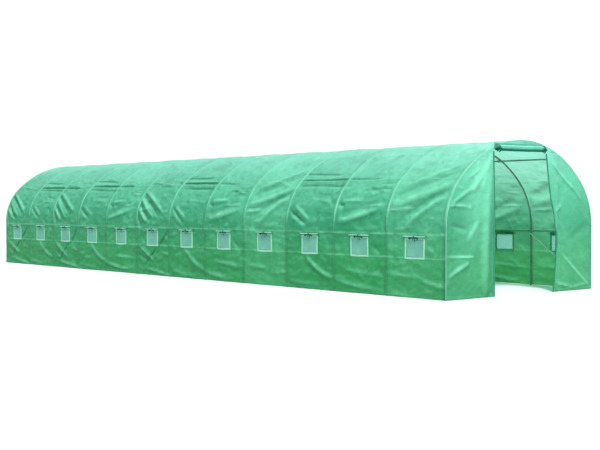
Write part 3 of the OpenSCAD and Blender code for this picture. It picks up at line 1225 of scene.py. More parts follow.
HABIT_FOLDS: dict[Habit, tuple[Fold, ...]] = {
    Habit.SWEEP: (
        Fold((0.97, 1.16), (-0.02, 1.5), 0.016, 0.06, -0.03, 0.25, 0.35),
        Fold((0.92, 1.31), (-0.02, 1.74), -0.013, 0.055, -0.03),
        Fold((0.88, 1.45), (-0.02, 1.96), 0.014, 0.06, -0.04, 0.25, 0.25),
        Fold((0.7, 1.76), (-0.02, 2.22), -0.01, 0.06, -0.02),
        Fold((0.66, 0.88), (0.06, 1.28), 0.013, 0.05, 0.02, 0.25, 0.35),
        Fold((0.8, 0.96), (0.04, 1.38), -0.01, 0.045, 0.02),
        Fold((0.97, 1.105), (0.58, 1.1), 0.009, 0.016, 0.0, 1.0, 0.5),
        Fold((0.92, 0.3), (0.4, 0.24), 0.008, 0.03, 0.0, 0.35),
        Fold((0.36, 0.22), (0.0, 0.2), 0.007, 0.022, -0.01, 0.55),
        Fold((0.9, 0.92), (0.97, 0.62), -0.007, 0.03),
    ),
    Habit.RUMPLE: (
        Fold((0.93, 0.94), (0.16, 1.14), 0.012, 0.045, -0.02, 0.35, 0.45),
        Fold((0.92, 1.05), (0.25, 1.24), -0.009, 0.04, -0.02),
        Fold((0.92, 1.24), (0.48, 1.26), 0.008, 0.035, 0.0, 0.45),
        Fold((0.55, 1.15), (0.12, 1.17), 0.007, 0.014, 0.01, 0.55, 0.3),
        Fold((0.52, 1.4), (0.05, 1.42), -0.006, 0.014, 0.01, 0.0, 0.5),
        Fold((0.45, 1.44), (0.1, 1.36), 0.006, 0.015, 0.0, 0.3, 0.4),
        Fold((0.38, 1.47), (0.03, 1.5), -0.005, 0.012, 0.0, 0.0, 0.3),
        Fold((0.98, 1.19), (0.84, 1.14), -0.01, 0.028, 0.0, 0.0, 0.8),
        Fold((1.02, 0.17), (0.22, 0.06), 0.01, 0.034, -0.02, 0.5, 0.2),
        Fold((0.78, 0.29), (0.02, 0.25), 0.007, 0.028, 0.0, 0.45),
        Fold((0.28, 0.66), (0.08, 0.5), -0.006, 0.03, 0.0),
    ),
    Habit.LEVEL: (
        Fold((1.1, 1.72), (0.2, 1.7), -0.009, 0.018, 0.01, 0.0, 0.7),
        Fold((1.16, 1.585), (-0.55, 1.57), -0.009, 0.016, 0.01, 0.0, 0.9),
        Fold((1.0, 1.5), (-0.15, 1.47), -0.009, 0.018, 0.01, 0.0, 0.8),
        Fold((1.05, 1.63), (0.0, 1.62), 0.008, 0.024, 0.0, 0.25),
        Fold((0.95, 1.12), (0.6, 0.91), -0.01, 0.022, -0.01, 0.0, 0.7),
        Fold((0.88, 1.17), (0.52, 0.97), 0.008, 0.026, 0.0, 0.35),
        Fold((0.6, 1.25), (0.1, 1.22), 0.005, 0.022, 0.01, 0.2, 0.2),
        Fold((0.5, 1.36), (0.15, 1.33), -0.004, 0.018, -0.01, 0.0, 0.3),
        Fold((0.56, 0.48), (0.0, 0.17), 0.012, 0.038, -0.045, 0.5, 0.25),
        Fold((0.96, 0.1), (0.3, 0.05), 0.006, 0.028, 0.0, 0.3),
    ),
    Habit.FAN: (
        Fold((0.99, 1.44), (0.24, 1.05), 0.011, 0.034, 0.02, 0.25, 0.7),
        Fold((0.99, 1.36), (0.34, 0.98), -0.01, 0.03, 0.02),
        Fold((0.99, 1.29), (0.48, 0.93), 0.011, 0.032, 0.0, 0.25, 0.7),
        Fold((0.99, 1.2), (0.6, 0.9), -0.01, 0.026, 0.0),
        Fold((0.99, 1.13), (0.72, 0.87), 0.01, 0.028, 0.0, 0.25, 0.6),
        Fold((0.97, 1.04), (0.86, 0.76), -0.009, 0.026, 0.0, 0.0, 0.4),
        Fold((0.36, 0.5), (0.74, 0.14), -0.01, 0.022, 0.0, 0.0, 1.0),
        Fold((0.9, 0.48), (0.44, 0.24), 0.011, 0.03, 0.0, 0.6, 0.5),
        Fold((0.96, 0.36), (0.6, 0.2), -0.008, 0.026, 0.0, 0.0, 0.5),
        Fold((0.34, 0.46), (0.04, 0.76), -0.01, 0.028, 0.0, 0.0, 0.8),
        Fold((0.24, 0.4), (0.02, 0.34), 0.008, 0.028, 0.0, 0.45, 0.3),
        Fold((0.7, 0.11), (-0.02, 0.02), 0.009, 0.026, 0.0, 0.7, 0.3),
        Fold((0.98, 1.66), (0.3, 1.56), 0.006, 0.024, 0.0, 0.25, 0.2),
    ),
}
# The habit of each bay of the left side, from the front.
HABITS: tuple[Habit, ...] = (
    Habit.SWEEP, Habit.RUMPLE, Habit.LEVEL, Habit.SWEEP, Habit.RUMPLE, Habit.LEVEL,
    Habit.FAN, Habit.RUMPLE, Habit.LEVEL, Habit.FAN, Habit.LEVEL, Habit.FAN,
)
# How much painted highlight each habit lays over its bay, or painted shade where the number is below 0.
HABIT_TONES: dict[Habit, float] = {
    Habit.SWEEP: 0.18, Habit.RUMPLE: -0.08, Habit.LEVEL: -0.24, Habit.FAN: -0.26,
}


def jittered(fold: Fold, draw: np.random.Generator, amount: float) -> Fold:
    """The same fold, moved and changed a little at random.

    Args:
        fold: The fold.
        draw: The random draws.
        amount: How far its ends move, as a spread.

    Returns:
        The moved fold.
    """
    shift = draw.normal(0.0, amount, 4)
    return replace(
        fold,
        start=(fold.start[0] + shift[0], fold.start[1] + shift[1]),
        end=(fold.end[0] + shift[2], fold.end[1] + shift[3]),
        height=fold.height * draw.uniform(0.8, 1.2),
        width=fold.width * draw.uniform(0.85, 1.2),
        pale=fold.pale * draw.uniform(0.7, 1.2),
        shade=fold.shade * draw.uniform(0.7, 1.2),
    )


def ruffle(points: Array, scale: Spot, octaves: int, offset: float) -> Array:
    """Fractal noise from about -1 to 1 at every point; the offset moves the pattern."""
    spread = points * np.array(scale) + offset
    return np.array([noise.fractal(Vector(point), 0.9, 2.1, octaves) for point in spread])


# ---- the long cover


@dataclass(frozen=True)
class LongCover:
    """The sheet over the hoops: two side sheets with windows, and a crown sheet between them."""

    tunnel: Tunnel
    thickness: float = 0.0016
    step_along: float = 0.026
    step_side: float = 0.0225
    step_crown: float = 0.043
    low_seam: float = 0.494
    high_seam: float = 0.79
    seam_half_w: float = 0.008
    seam_lift: float = 0.0022
    seam_pale: float = 0.3
    broad_h: float = 0.0095
    fine_h: float = 0.005
    roof_sag: float = 0.006
    dip_limit: float = 0.028
    rise_limit: float = 0.018
    hoop_rise: float = 0.0035
    hoop_pale: float = 1.4
    lean_pale: float = 2.5
    lean_shade: float = 3.6

    NEAR_HOOP = (-0.042, -0.02, -0.008, 0.0, 0.008, 0.02, 0.042)
    BAY_REACH = (-0.6, 1.3)

    def columns(self) -> Array:
        """Distances along the tunnel, closer over each hoop and at each window's edges."""
        fixed = [hoop + off for hoop in self.tunnel.hoops for off in self.NEAR_HOOP]
        for middle in self.tunnel.windows:
            fixed += [middle - self.tunnel.window_half_w, middle + self.tunnel.window_half_w]
        return crossings(self.tunnel.y_front, self.tunnel.y_rear, self.step_along, fixed)

    def relief(self, y: Array, cloth: Array) -> Relief:
        """The folds, sag and marks of the cover.

        Args:
            y: Distance of each crossing along the tunnel.
            cloth: Its distance along the outline from the left foot.

        Returns:
            Their relief.
        """
        arch, bay = self.tunnel.arch, self.tunnel.bay
        up = np.minimum(cloth, arch.girth - cloth)
        on_left = cloth < arch.girth / 2
        relief = Relief.flat(len(y))
        for side, on_side in ((Side.LEFT, on_left), (Side.RIGHT, ~on_left)):
            for number, near_hoop in enumerate(self.tunnel.hoops[:-1]):
                share = (y - near_hoop) / bay
                where = np.nonzero(on_side & (share > self.BAY_REACH[0]) & (share < self.BAY_REACH[1]))[0]
                if len(where):
                    self.fold_bay(relief, side, number, share, up, where)
        point, _ = arch.at(cloth)
        spot = np.stack([point[:, 0], y, point[:, 1]], 1)
        broad = ruffle(spot, (2.6, 2.0, 3.2), 3, 3.7)
        relief.lift += self.broad_h * broad + self.fine_h * ruffle(spot, (9.0, 6.5, 13.0), 2, 11.3)
        nearest = gap_to(y, self.tunnel.hoops)
        on_roof = smooth_step(up, 0.95, 1.5)
        relief.lift -= self.roof_sag * np.sin(np.pi * np.clip(nearest / bay, 0, 0.5)) * on_roof
        hold = 1 - bell(nearest, 0.045) * (0.35 + 0.65 * smooth_step(up, 0.4, 0.9))
        relief.lift = relief.lift * hold * self.flat_by_windows(y, up)
        relief.keep_within(self.dip_limit, self.rise_limit)
        relief.lift += self.hoop_rise * bell(nearest, 0.013) * smooth_step(up, 0.7, 1.0)
        self.mark_lines(relief, up, nearest, broad)
        return relief

    def fold_bay(
        self, relief: Relief, side: Side, number: int, share: Array, up: Array, where: Array
    ) -> None:
        """Adds the folds of one bay on one side, with their painted highlight and shade, and the whole bay's
        painted light, paler or darker by its habit.

        Args:
            relief: What they are added to.
            side: The side.
            number: The bay's number, from 0 at the front.
            share: Each crossing's place along the bay.
            up: Its distance up the cloth.
            where: The crossings near the bay.
        """
        draw = np.random.default_rng(SEED + 100 * number + 7 * side.value)
        habit = HABITS[(number + (0 if side is Side.LEFT else 3)) % len(HABITS)]
        for fold in [jittered(fold, draw, 0.012) for fold in HABIT_FOLDS[habit]] + self.small_folds(draw):
            relief.add_fold(fold, share, up, self.tunnel.bay, where)
        inside = smooth_step(share[where], 0.0, 0.05) * (1 - smooth_step(share[where], 0.96, 1.0))
        tone = HABIT_TONES[habit] * inside * (1 - smooth_step(up[where], 1.9, 2.7))
        relief.pale[where] += np.maximum(tone, 0.0)
        relief.shade[where] += np.maximum(-tone, 0.0)

    @staticmethod
    def small_folds(draw: np.random.Generator, count: int = 26) -> list[Fold]:
        """Small random creases for one bay.

        Args:
            draw: The random draws.
            count: How many creases.

        Returns:
            The creases.
        """
        folds = []
        for _ in range(count):
            middle = (draw.uniform(0.08, 0.92), draw.uniform(0.05, 2.4))
            reach, lean = draw.uniform(0.05, 0.16), draw.normal(0.0, 0.55)
            step = (reach * math.cos(lean), reach * math.sin(lean))
            folds.append(Fold(
                start=(middle[0] - step[0], middle[1] - step[1]),
                end=(middle[0] + step[0], middle[1] + step[1]),
                height=draw.uniform(-0.005, 0.006),
                width=draw.uniform(0.014, 0.034),
                bow=draw.normal(0.0, 0.012),
                pale=draw.uniform(0.0, 0.26),
                shade=draw.uniform(0.0, 0.12),
            ))
        return folds

    def flat_by_windows(self, y: Array, up: Array) -> Array:
        """How much of the folds is left near the windows, which hold the cloth flat.

        Args:
            y: Each crossing's distance along the tunnel.
            up: Its distance up the cloth.

        Returns:
            Almost 0 at a window, and 1 well away from it.
        """
        aside = gap_to(y, self.tunnel.windows) - self.tunnel.window_half_w
        above = np.abs(up - self.tunnel.window_z) - self.tunnel.window_tall / 2
        return 0.04 + 0.96 * smooth_step(np.maximum(aside, above), 0.025, 0.11)

    def mark_lines(self, relief: Relief, up: Array, nearest: Array, broad: Array) -> None:
        """Marks painted highlight over the hoops and painted shadow beside their legs, and the sewn seams
        with painted shade under them, the shoulder seam and the hem.

        Args:
            relief: What is marked.
            up: Each crossing's distance up the cloth.
            nearest: Its distance from the nearest hoop.
            broad: Broad noise that makes the lines come and go.
        """
        # Painted highlight where the cloth is stretched over each hoop, and painted shadow of the hoops' legs
        # beside them low down.
        over_hoop = bell(nearest, 0.015) * np.clip(0.9 + 0.8 * broad, 0.2, 1.3)
        relief.pale += self.hoop_pale * over_hoop * smooth_step(up, 0.75, 1.25)
        relief.pale += 0.12 * over_hoop * (1 - smooth_step(up, 0.72, 1.15))
        relief.shade += bell(nearest - 0.014, 0.009) * (1 - smooth_step(up, 0.9, 1.3))
        for seam in (self.low_seam, self.high_seam):
            line = bell(up - seam, self.seam_half_w)
            relief.lift += self.seam_lift * line
            relief.pale += self.seam_pale * line * np.clip(0.9 + 2.2 * broad, 0.0, 1.6)
            # Painted shade under the seam's ridge.
            relief.shade += 0.22 * bell(up - seam + 0.018, 0.01)
        shoulder = up - self.tunnel.arch.side_l
        relief.shade += 0.1 * bell(shoulder, 0.009)
        relief.lift += 0.0015 * bell(shoulder - 0.016, 0.012)
        relief.pale += 0.08 * bell(shoulder - 0.018, 0.01)
        relief.pale += 0.3 * bell(up - HEM_LINE, 0.006)

    def place(self, minus_y: Array, cloth: Array) -> Laid:
        """Puts crossings on the outline and lifts them by the relief.

        Args:
            minus_y: Their distances towards the front, which turns the faces outwards.
            cloth: Their distances along the outline from the left foot.

        Returns:
            Their points and marks.
        """
        arch, relief = self.tunnel.arch, self.relief(-minus_y, cloth)
        point, out = arch.at(cloth)
        climb = -np.sign(out[:, 0]) * np.clip(1.15 * np.abs(out[:, 0]), 0.25, 1.0)
        relief.mark_leans(minus_y, cloth, climb, self.lean_pale, self.lean_shade)
        relief.pale *= 1 - 0.4 * (1 - smooth_step(point[:, 1], 0.35, 0.95))
        moved = point + out * relief.lift[:, None]
        wave = 0.5 + 0.5 * np.sin(minus_y * 5.1) * np.sin(minus_y * 2.3 + 1.0)
        moved[:, 1] += 0.007 * wave * bell(np.minimum(cloth, arch.girth - cloth), 0.03)
        return Laid(np.stack([moved[:, 0], -minus_y, moved[:, 1]], 1), relief.pale, relief.shade)

    def sheet(self, name: str, rows: Array, windows: bool) -> Piece:
        """Makes one long sheet.

        Args:
            name: The piece's name.
            rows: Its crossings along the outline.
            windows: Whether windows are cut in it.

        Returns:
            The finished cloth.
        """
        piece = woven_strip(name, -self.columns()[::-1], rows, self.place)
        if windows:
            cut_faces(piece, self.in_window)
        return thicken(piece, self.thickness)

    def in_window(self, middles: Array) -> Array:
        """Whether each face's middle is inside a window."""
        level = (middles[:, 2] > self.tunnel.window_low) & (middles[:, 2] < self.tunnel.window_high)
        return level & (gap_to(middles[:, 1], self.tunnel.windows) < self.tunnel.window_half_w)

    def side_rows(self) -> Array:
        """Distances up a side sheet, closer at seams and at the windows' edges."""
        top = self.tunnel.arch.side_l
        fixed = [self.tunnel.window_low, self.tunnel.window_high, top - self.seam_half_w, *HEM_ROWS]
        for seam in (self.low_seam, self.high_seam):
            fixed += [seam - self.seam_half_w, seam, seam + self.seam_half_w]
        return crossings(0.0, top, self.step_side, fixed)

    def build(self) -> None:
        """Makes the three long sheets."""
        arch, finish = self.tunnel.arch, GreenSheet()
        hoops, rows = self.tunnel.hoop_names, self.side_rows()
        for side in Side:
            cloth = rows if side is Side.LEFT else (arch.girth - rows)[::-1]
            piece = self.sheet(f"side_sheet_{side.word}", cloth, windows=True)
            hand_over(piece, finish, [f"side_cover_{side.word}", f"shoulder_cover_{side.word}"], INNER_FACE)
        seam = arch.side_l
        closer = [seam + mark for mark in (0.008, 0.018, 0.028, *np.arange(0.045, 0.26, 0.019))]
        fixed = [*closer, *(arch.girth - mark for mark in closer)]
        crown_rows = crossings(seam, arch.girth - seam, self.step_crown, fixed)
        crown = self.sheet("crown_sheet", crown_rows, windows=False)
        hand_over(crown, finish, ["crown_cover"], INNER_FACE)


# ---- the end covers


@dataclass(frozen=True)
class EndCover:
    """The sheets that close one end: a panel each side of the door, and a head panel over it."""

    tunnel: Tunnel
    end: End
    thickness: float = 0.0016
    step: float = 0.021
    setback: float = 0.0005
    piping_r: float = 0.0034
    zip_half_w: float = 0.013
    zip_t: float = 0.0009
    zip_low: float = 0.004
    tooth_pitch: float = 0.006
    tooth_size: Spot = (0.0066, 0.0022, 0.0032)
    slider_size: Spot = (0.0084, 0.006, 0.018)
    pull_w: float = 0.01
    pull_l: float = 0.034
    pull_t: float = 0.0014
    pull_band: float = 0.0026
    pull_hangs: Spot = (0.0, -0.0042, -0.019)

    # Shares of the doorway's height, and how far the drawn-in edge then is outside its plumb line.
    DRAWN_EDGE = (
        (0.0, 0.02), (0.1, 0.05), (0.25, 0.083), (0.35, 0.098), (0.43, 0.09),
        (0.47, 0.063), (0.58, 0.02), (0.67, -0.04), (0.81, -0.09), (1.0, -0.144),
    )
    FRONT_LEFT = (
        # A nearly flat, very wide fold: a broad painted highlight over the panel.
        Fold((-0.8, 2.1), (-1.0, 0.6), 0.001, 0.45, 0.0, 0.42),
        Fold((-0.77, 0.02), (-0.7, 1.7), 0.026, 0.085, 0.02, 0.42, 0.25),
        Fold((-0.64, 1.78), (-1.04, 1.32), 0.014, 0.05, 0.0, 0.6, 0.5),
        Fold((-0.74, 1.66), (-0.86, 1.34), 0.01, 0.07, 0.0, 0.45, 0.1),
        Fold((-0.98, 1.38), (-1.42, 1.15), 0.009, 0.032, 0.02, 0.35, 0.3),
        Fold((-1.02, 1.13), (-1.45, 1.15), 0.008, 0.018, 0.01, 0.7, 0.3),
        Fold((-1.16, 1.37), (-1.36, 1.38), 0.005, 0.014, 0.0, 0.5, 0.2),
        Fold((-0.86, 1.62), (-1.08, 1.5), 0.007, 0.022, 0.0, 0.35, 0.3),
        Fold((-0.97, 0.52), (-1.5, 0.53), 0.003, 0.009, 0.0, 0.9, 0.3),
        Fold((-1.06, 0.44), (-1.46, 0.27), 0.01, 0.03, 0.015, 0.5, 0.2),
        Fold((-0.9, 0.96), (-1.12, 0.7), 0.008, 0.045, 0.0, 0.3, 0.2),
        Fold((-1.1, 0.86), (-1.4, 0.92), -0.007, 0.03, 0.0, 0.0, 0.3),
    )
    FRONT_RIGHT = (
        Fold((0.6, 1.74), (1.08, 1.38), 0.01, 0.024, -0.02, 0.75, 0.2),
        Fold((1.02, 1.44), (1.26, 1.24), 0.006, 0.02, 0.0, 0.4, 0.1),
        Fold((0.8, 0.52), (1.44, 0.05), 0.005, 0.013, 0.0, 0.95, 0.2),
        Fold((0.66, 1.08), (0.8, 1.16), 0.009, 0.028, 0.0, 0.5, 0.5),
        Fold((0.72, 0.02), (0.7, 1.55), 0.012, 0.06, -0.02, 0.2),
        Fold((0.68, 0.12), (1.05, 0.05), 0.006, 0.022, 0.0, 0.5, 0.3),
        Fold((1.0, 0.04), (1.42, 0.09), 0.005, 0.02, 0.0, 0.35, 0.3),
        Fold((0.98, 0.7), (1.4, 0.92), -0.006, 0.06, 0.0, 0.0, 0.15),
    )
    REAR_LEFT = (
        Fold((-0.62, 1.7), (-1.1, 1.3), 0.01, 0.03, 0.0, 0.5, 0.3),
        Fold((-0.66, 1.3), (-1.3, 0.9), 0.009, 0.04, 0.02, 0.3, 0.3),
        Fold((-0.7, 0.5), (-1.5, 0.52), 0.003, 0.01, 0.0, 0.7, 0.3),
        Fold((-0.68, 0.42), (-1.4, 0.08), 0.008, 0.028, 0.0, 0.45, 0.2),
        Fold((-0.76, 0.05), (-0.72, 1.5), 0.012, 0.06, 0.02, 0.2),
    )

    @property
    def outwards(self) -> float:
        """The sign of Y out of this end."""
        return float(self.end.value)

    @property
    def hoop(self) -> str:
        """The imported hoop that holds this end's sheets."""
        return self.tunnel.hoop_names[0 if self.end is End.FRONT else -1]

    def folds(self, side: Side) -> Sequence[Fold]:
        """The folds of one panel; the rear panels are alike, turned left to right.

        Args:
            side: The panel's side.

        Returns:
            Its folds.
        """
        if self.end is End.FRONT:
            return self.FRONT_LEFT if side is Side.LEFT else self.FRONT_RIGHT
        if side is Side.LEFT:
            return self.REAR_LEFT
        return [
            replace(fold, start=(-fold.start[0], fold.start[1]), end=(-fold.end[0], fold.end[1]))
            for fold in self.REAR_LEFT
        ]

    def door_edge(self, side: Side, height: Array) -> Array:
        """Where a panel's door edge is, to the side of the middle.

        The right edge of the open front doorway bellies out low down and draws in towards the roll.

        Args:
            side: The panel's side.
            height: Heights to read it at.

        Returns:
            The distance from the middle at each height.
        """
        half, head = self.tunnel.door_half_w, self.tunnel.door_h
        if self.end is End.REAR:
            return np.full_like(height, half)
        if side is Side.LEFT:
            return half - 0.018 * (1 - smooth_step(height, 1.2, head))
        shares, outside = zip(*self.DRAWN_EDGE)
        below_head = 1 - smooth_step(height, head - 0.004, head)
        return half + np.interp(height / head, shares, outside) * below_head

    def relief(self, x: Array, z: Array, folds: Sequence[Fold], free: Array, offset: float) -> Relief:
        """The folds of a panel.

        Args:
            x: Each crossing's place across the tunnel.
            z: Its height.
            folds: The folds.
            free: How far it is from a held edge, in metres.
            offset: Moves the noise, so that each panel has its own.

        Returns:
            The panel's relief.
        """
        relief = Relief.flat(len(x))
        for fold in folds:
            relief.add_fold(fold, x, z)
        spot = np.stack([x, np.zeros_like(x), z], 1)
        relief.lift += 0.006 * ruffle(spot, (3.0, 1.0, 2.4), 3, offset)
        relief.lift += 0.0022 * ruffle(spot, (11.0, 1.0, 8.0), 2, offset + 5.0)
        relief.lift *= smooth_step(free, 0.0, 0.07)
        relief.keep_within(0.02, 0.026)
        relief.pale += 0.3 * bell(z - HEM_LINE, 0.007) + 0.35 * bell(free - 0.006, 0.01)
        return relief

    def in_plane(self, x: Array, z: Array, lift: Array) -> Array:
        """Points over the end's plane, by a lift that points outwards."""
        return np.stack([x, self.tunnel.end_y(self.end) + self.outwards * lift, z], 1)

    def panel(
        self, name: str, across: Array, up: Array, x_of: Spreader, folds: Sequence[Fold], offset: float
    ) -> Piece:
        """Makes one panel in the end's plane.

        Args:
            name: The piece's name.
            across: Shares from 0 to 1 across the panel.
            up: Heights.
            x_of: Gives each crossing's x and its distance from the nearest held edge.
            folds: The panel's folds.
            offset: Moves the noise.

        Returns:
            The finished panel.
        """

        def place(share: Array, height: Array) -> Laid:
            """Puts crossings in the end's plane and lifts them by the relief.

            Args:
                share: Their shares across the panel.
                height: Their heights.

            Returns:
                Their points and marks.
            """
            x, free = x_of(share, height).T
            relief = self.relief(x, height, folds, free, offset)
            relief.mark_leans(share, height, np.ones_like(x), 2.4, 2.8)
            wave = 0.006 * (0.5 + 0.5 * np.sin(x * 9.0 + offset)) * bell(height, 0.03)
            points = self.in_plane(x, height + wave, relief.lift - self.setback)
            return Laid(points, relief.pale, relief.shade)

        return self.finish_cloth(woven_strip(name, across, up, place))

    def finish_cloth(self, piece: Piece) -> Piece:
        """Turns a panel's faces outwards and gives it its thickness.

        Args:
            piece: The panel, one layer thick.

        Returns:
            The same panel.
        """
        middle = piece.data.polygons[len(piece.data.polygons) // 2].normal
        if middle.y * self.outwards < 0:
            with editing(piece):
                bpy.ops.mesh.flip_normals()
        return thicken(piece, self.thickness)

    def side_panel(self, side: Side) -> None:
        """Makes the panel between the doorway and one side.

        Args:
            side: The side.
        """
        arch, half, head = self.tunnel.arch, self.tunnel.door_half_w, self.tunnel.door_h
        top = arch.crown_z + math.sqrt(arch.crown_r**2 - half**2) - 0.001
        heights = crossings(0.0, top, self.step, [*HEM_ROWS, 0.52, 0.53, head - 0.004, head])
        shares = np.linspace(0.0, 1.0, 44)

        def x_of(share: Array, height: Array) -> Array:
            """Puts crossings between the door edge and the outline.

            Args:
                share: Their shares of the way.
                height: Their heights.

            Returns:
                Their x, and their distances from the nearer edge.
            """
            edge, outline = self.door_edge(side, height), arch.half_width(height)
            aside = edge + (outline - edge) * share
            free = np.minimum(aside - edge, outline - aside)
            return np.stack([side.value * aside, free], 1)

        name = f"{self.end.word}_sheet_{side.word}"
        offset = 20.0 + 3.1 * side.value + 7.7 * self.end.value
        piece = self.panel(name, shares, heights, x_of, self.folds(side), offset)
        hand_over(piece, LIGHTER_END_SHEET, [f"{self.end.word}_panel_{side.word}"], INNER_FACE)
        fine = np.linspace(0.0, top, 400)
        widths = arch.half_width(fine) - self.door_edge(side, fine)

    def head_panel(self) -> None:
        """Makes the panel over the doorway."""
        arch, half, low = self.tunnel.arch, self.tunnel.door_half_w, self.tunnel.door_h

        def outline(across: Array) -> Array:
            """The height of the cover's outline over the doorway."""
            return arch.crown_z + np.sqrt(arch.crown_r**2 - across**2)

        def place(across: Array, share: Array) -> Laid:
            """Puts crossings between the door's head and the outline over it.

            Args:
                across: Their x.
                share: Their shares of the way up.

            Returns:
                Their points and marks.
            """
            height = low + (outline(across) - low) * share
            relief = self.relief(across, height, (), np.full_like(across, 0.05), 61.0)
            points = self.in_plane(across, height, 0.5 * relief.lift - self.setback)
            return Laid(points, relief.pale, relief.shade)

        name = f"{self.end.word}_head_sheet"
        cloth = woven_strip(name, np.linspace(-half, half, 50), np.linspace(0.0, 1.0, 10), place)
        piece = self.finish_cloth(cloth)
        hand_over(piece, GreenSheet(), [f"{self.end.word}_head_panel"], INNER_FACE)

    def piping(self) -> None:
        """Makes the round piping where the end cover is sewn to the long cover."""
        arch = self.tunnel.arch
        along = crossings(0.004, arch.girth - 0.004, 0.03, [])
        point, out = arch.at(along)
        wobble = 0.0008 * np.sin(along * 17.0) * np.sin(along * 5.3)
        point = point + out * (0.001 + wobble)[:, None]
        path = self.on_face(point, 0.0005)
        hand_over(tube(f"{self.end.word}_piping", path, self.piping_r), GREEN_PIPING)

    def curtain(self) -> None:
        """Makes the closed door curtain of the rear end."""
        half, tall = self.tunnel.door_half_w, self.tunnel.door_h
        folds = (
            Fold((-0.5, 1.76), (0.1, 1.48), 0.007, 0.03, -0.02, 0.4, 0.2),
            Fold((0.54, 1.7), (0.2, 1.3), 0.007, 0.028, 0.0, 0.4, 0.2),
            Fold((-0.54, 0.95), (-0.1, 0.6), 0.006, 0.035, 0.0, 0.3, 0.2),
            Fold((0.5, 0.45), (-0.3, 0.12), 0.006, 0.03, 0.02, 0.4, 0.2),
        )

        def x_of(share: Array, height: Array) -> Array:
            """Spreads the crossings over the doorway."""
            aside = (2 * share - 1) * (half - 0.0005)
            return np.stack([aside, np.minimum(half - np.abs(aside), tall - height)], 1)

        name, shares = f"{self.end.word}_curtain_sheet", np.linspace(0.0, 1.0, 56)
        heights = crossings(0.0, tall - 0.0005, self.step, HEM_ROWS)
        piece = self.panel(name, shares, heights, x_of, folds, 83.0)
        hand_over(piece, LIGHTER_END_SHEET, ["rear_door_curtain"], INNER_FACE)

    def on_face(self, path: Array, proud: float) -> Array:
        """Points given by their x and z, a little proud of the end cover's face."""
        return self.in_plane(path[:, 0], path[:, 1], np.full(len(path), proud))

    def open_zips(self) -> list[Array]:
        """Makes a tape down each edge of the open doorway.

        Returns:
            The line of teeth of each tape.
        """
        lines, tapes, proud = [], [], 0.0018
        heights = np.linspace(self.zip_low, self.tunnel.door_h - 0.03, 70)
        for side in Side:
            edge = self.door_edge(side, heights)
            middle = self.on_face(np.stack([side.value * (edge + self.zip_half_w), heights], 1), proud)
            reach = np.tile([side.value * self.zip_half_w, 0.0, 0.0], (len(heights), 1))
            tapes.append(ribbon(f"front_zip_tape_{side.word}", middle, reach, self.zip_t))
            lines.append(self.on_face(np.stack([side.value * edge, heights], 1), proud))
        hand_over(join(tapes, "front_zip_tape_pair"), ZIP_TAPE, ["front_zip_tapes"])
        return lines

    def closed_zip(self) -> list[Array]:
        """Makes the tape round the closed doorway.

        Returns:
            The line of its teeth.
        """
        half, top, steps, proud = self.tunnel.door_half_w, self.tunnel.door_h, 39, 0.0012
        corners = np.array([(-half, self.zip_low), (-half, top), (half, top), (half, self.zip_low)])
        leans = np.array([(1.0, 0.0), (1.0, -1.0), (-1.0, -1.0), (-1.0, 0.0)])
        inwards = ((1.0, 0.0), (0.0, -1.0), (-1.0, 0.0))
        share = np.linspace(0.0, 1.0, steps + 1)[:-1, None]
        runs = [start + (end - start) * share for start, end in zip(corners, corners[1:])]
        turns = [np.vstack([lean, np.tile(inward, (steps - 1, 1))]) for lean, inward in zip(leans, inwards)]
        path = np.vstack([*runs, corners[-1:]])
        reach = self.zip_half_w * np.vstack([*turns, leans[-1:]])
        out = np.stack([reach[:, 0], np.zeros(len(reach)), reach[:, 1]], 1)
        line = self.on_face(path, proud)
        hand_over(ribbon("rear_zip_tape_round", line, out, self.zip_t), ZIP_TAPE, ["rear_zip_tape"])
        return [line]

    def teeth(self, lines: Sequence[Array]) -> None:
        """Makes the teeth and the sliders along the tapes.

        Args:
            lines: The points along each row of teeth.
        """
        places, sliders = [], []
        for line in lines:
            marks = np.arange(self.tooth_pitch, lengths_along(line)[-1], self.tooth_pitch)
            for point, ahead in zip(self.read(line, marks), self.read(line, marks + 0.001)):
                turn = math.atan2(ahead[0] - point[0], ahead[2] - point[2])
                places.append(Matrix.Translation(point) @ Matrix.Rotation(turn, 4, "Y"))
            sliders += [line[-3]] if self.end is End.FRONT else [line[2], line[-3]]
        hand_over(stamp(self.tooth(), places, f"{self.end.word}_zip_teeth"), DarkWebbing())
        face_out = Matrix.Rotation(0.0 if self.end is End.FRONT else math.pi, 4, "Z")
        spots = [Matrix.Translation(point) @ face_out for point in sliders]
        hand_over(stamp(self.slider(), spots, f"{self.end.word}_zip_sliders"), GalvanisedTube())

    @staticmethod
    def read(line: Array, marks: Array) -> Array:
        """Points at given distances along a line."""
        return np.stack([np.interp(marks, lengths_along(line), line[:, axis]) for axis in range(3)], 1)

    def tooth(self) -> Piece:
        """One tooth: a small block with bevelled edges."""
        tooth = added(bpy.ops.mesh.primitive_cube_add, size=1.0)
        with editing(tooth):
            bpy.ops.transform.resize(value=self.tooth_size)
            bpy.ops.mesh.bevel(offset=0.0005, segments=1, affect="EDGES")
        return tooth

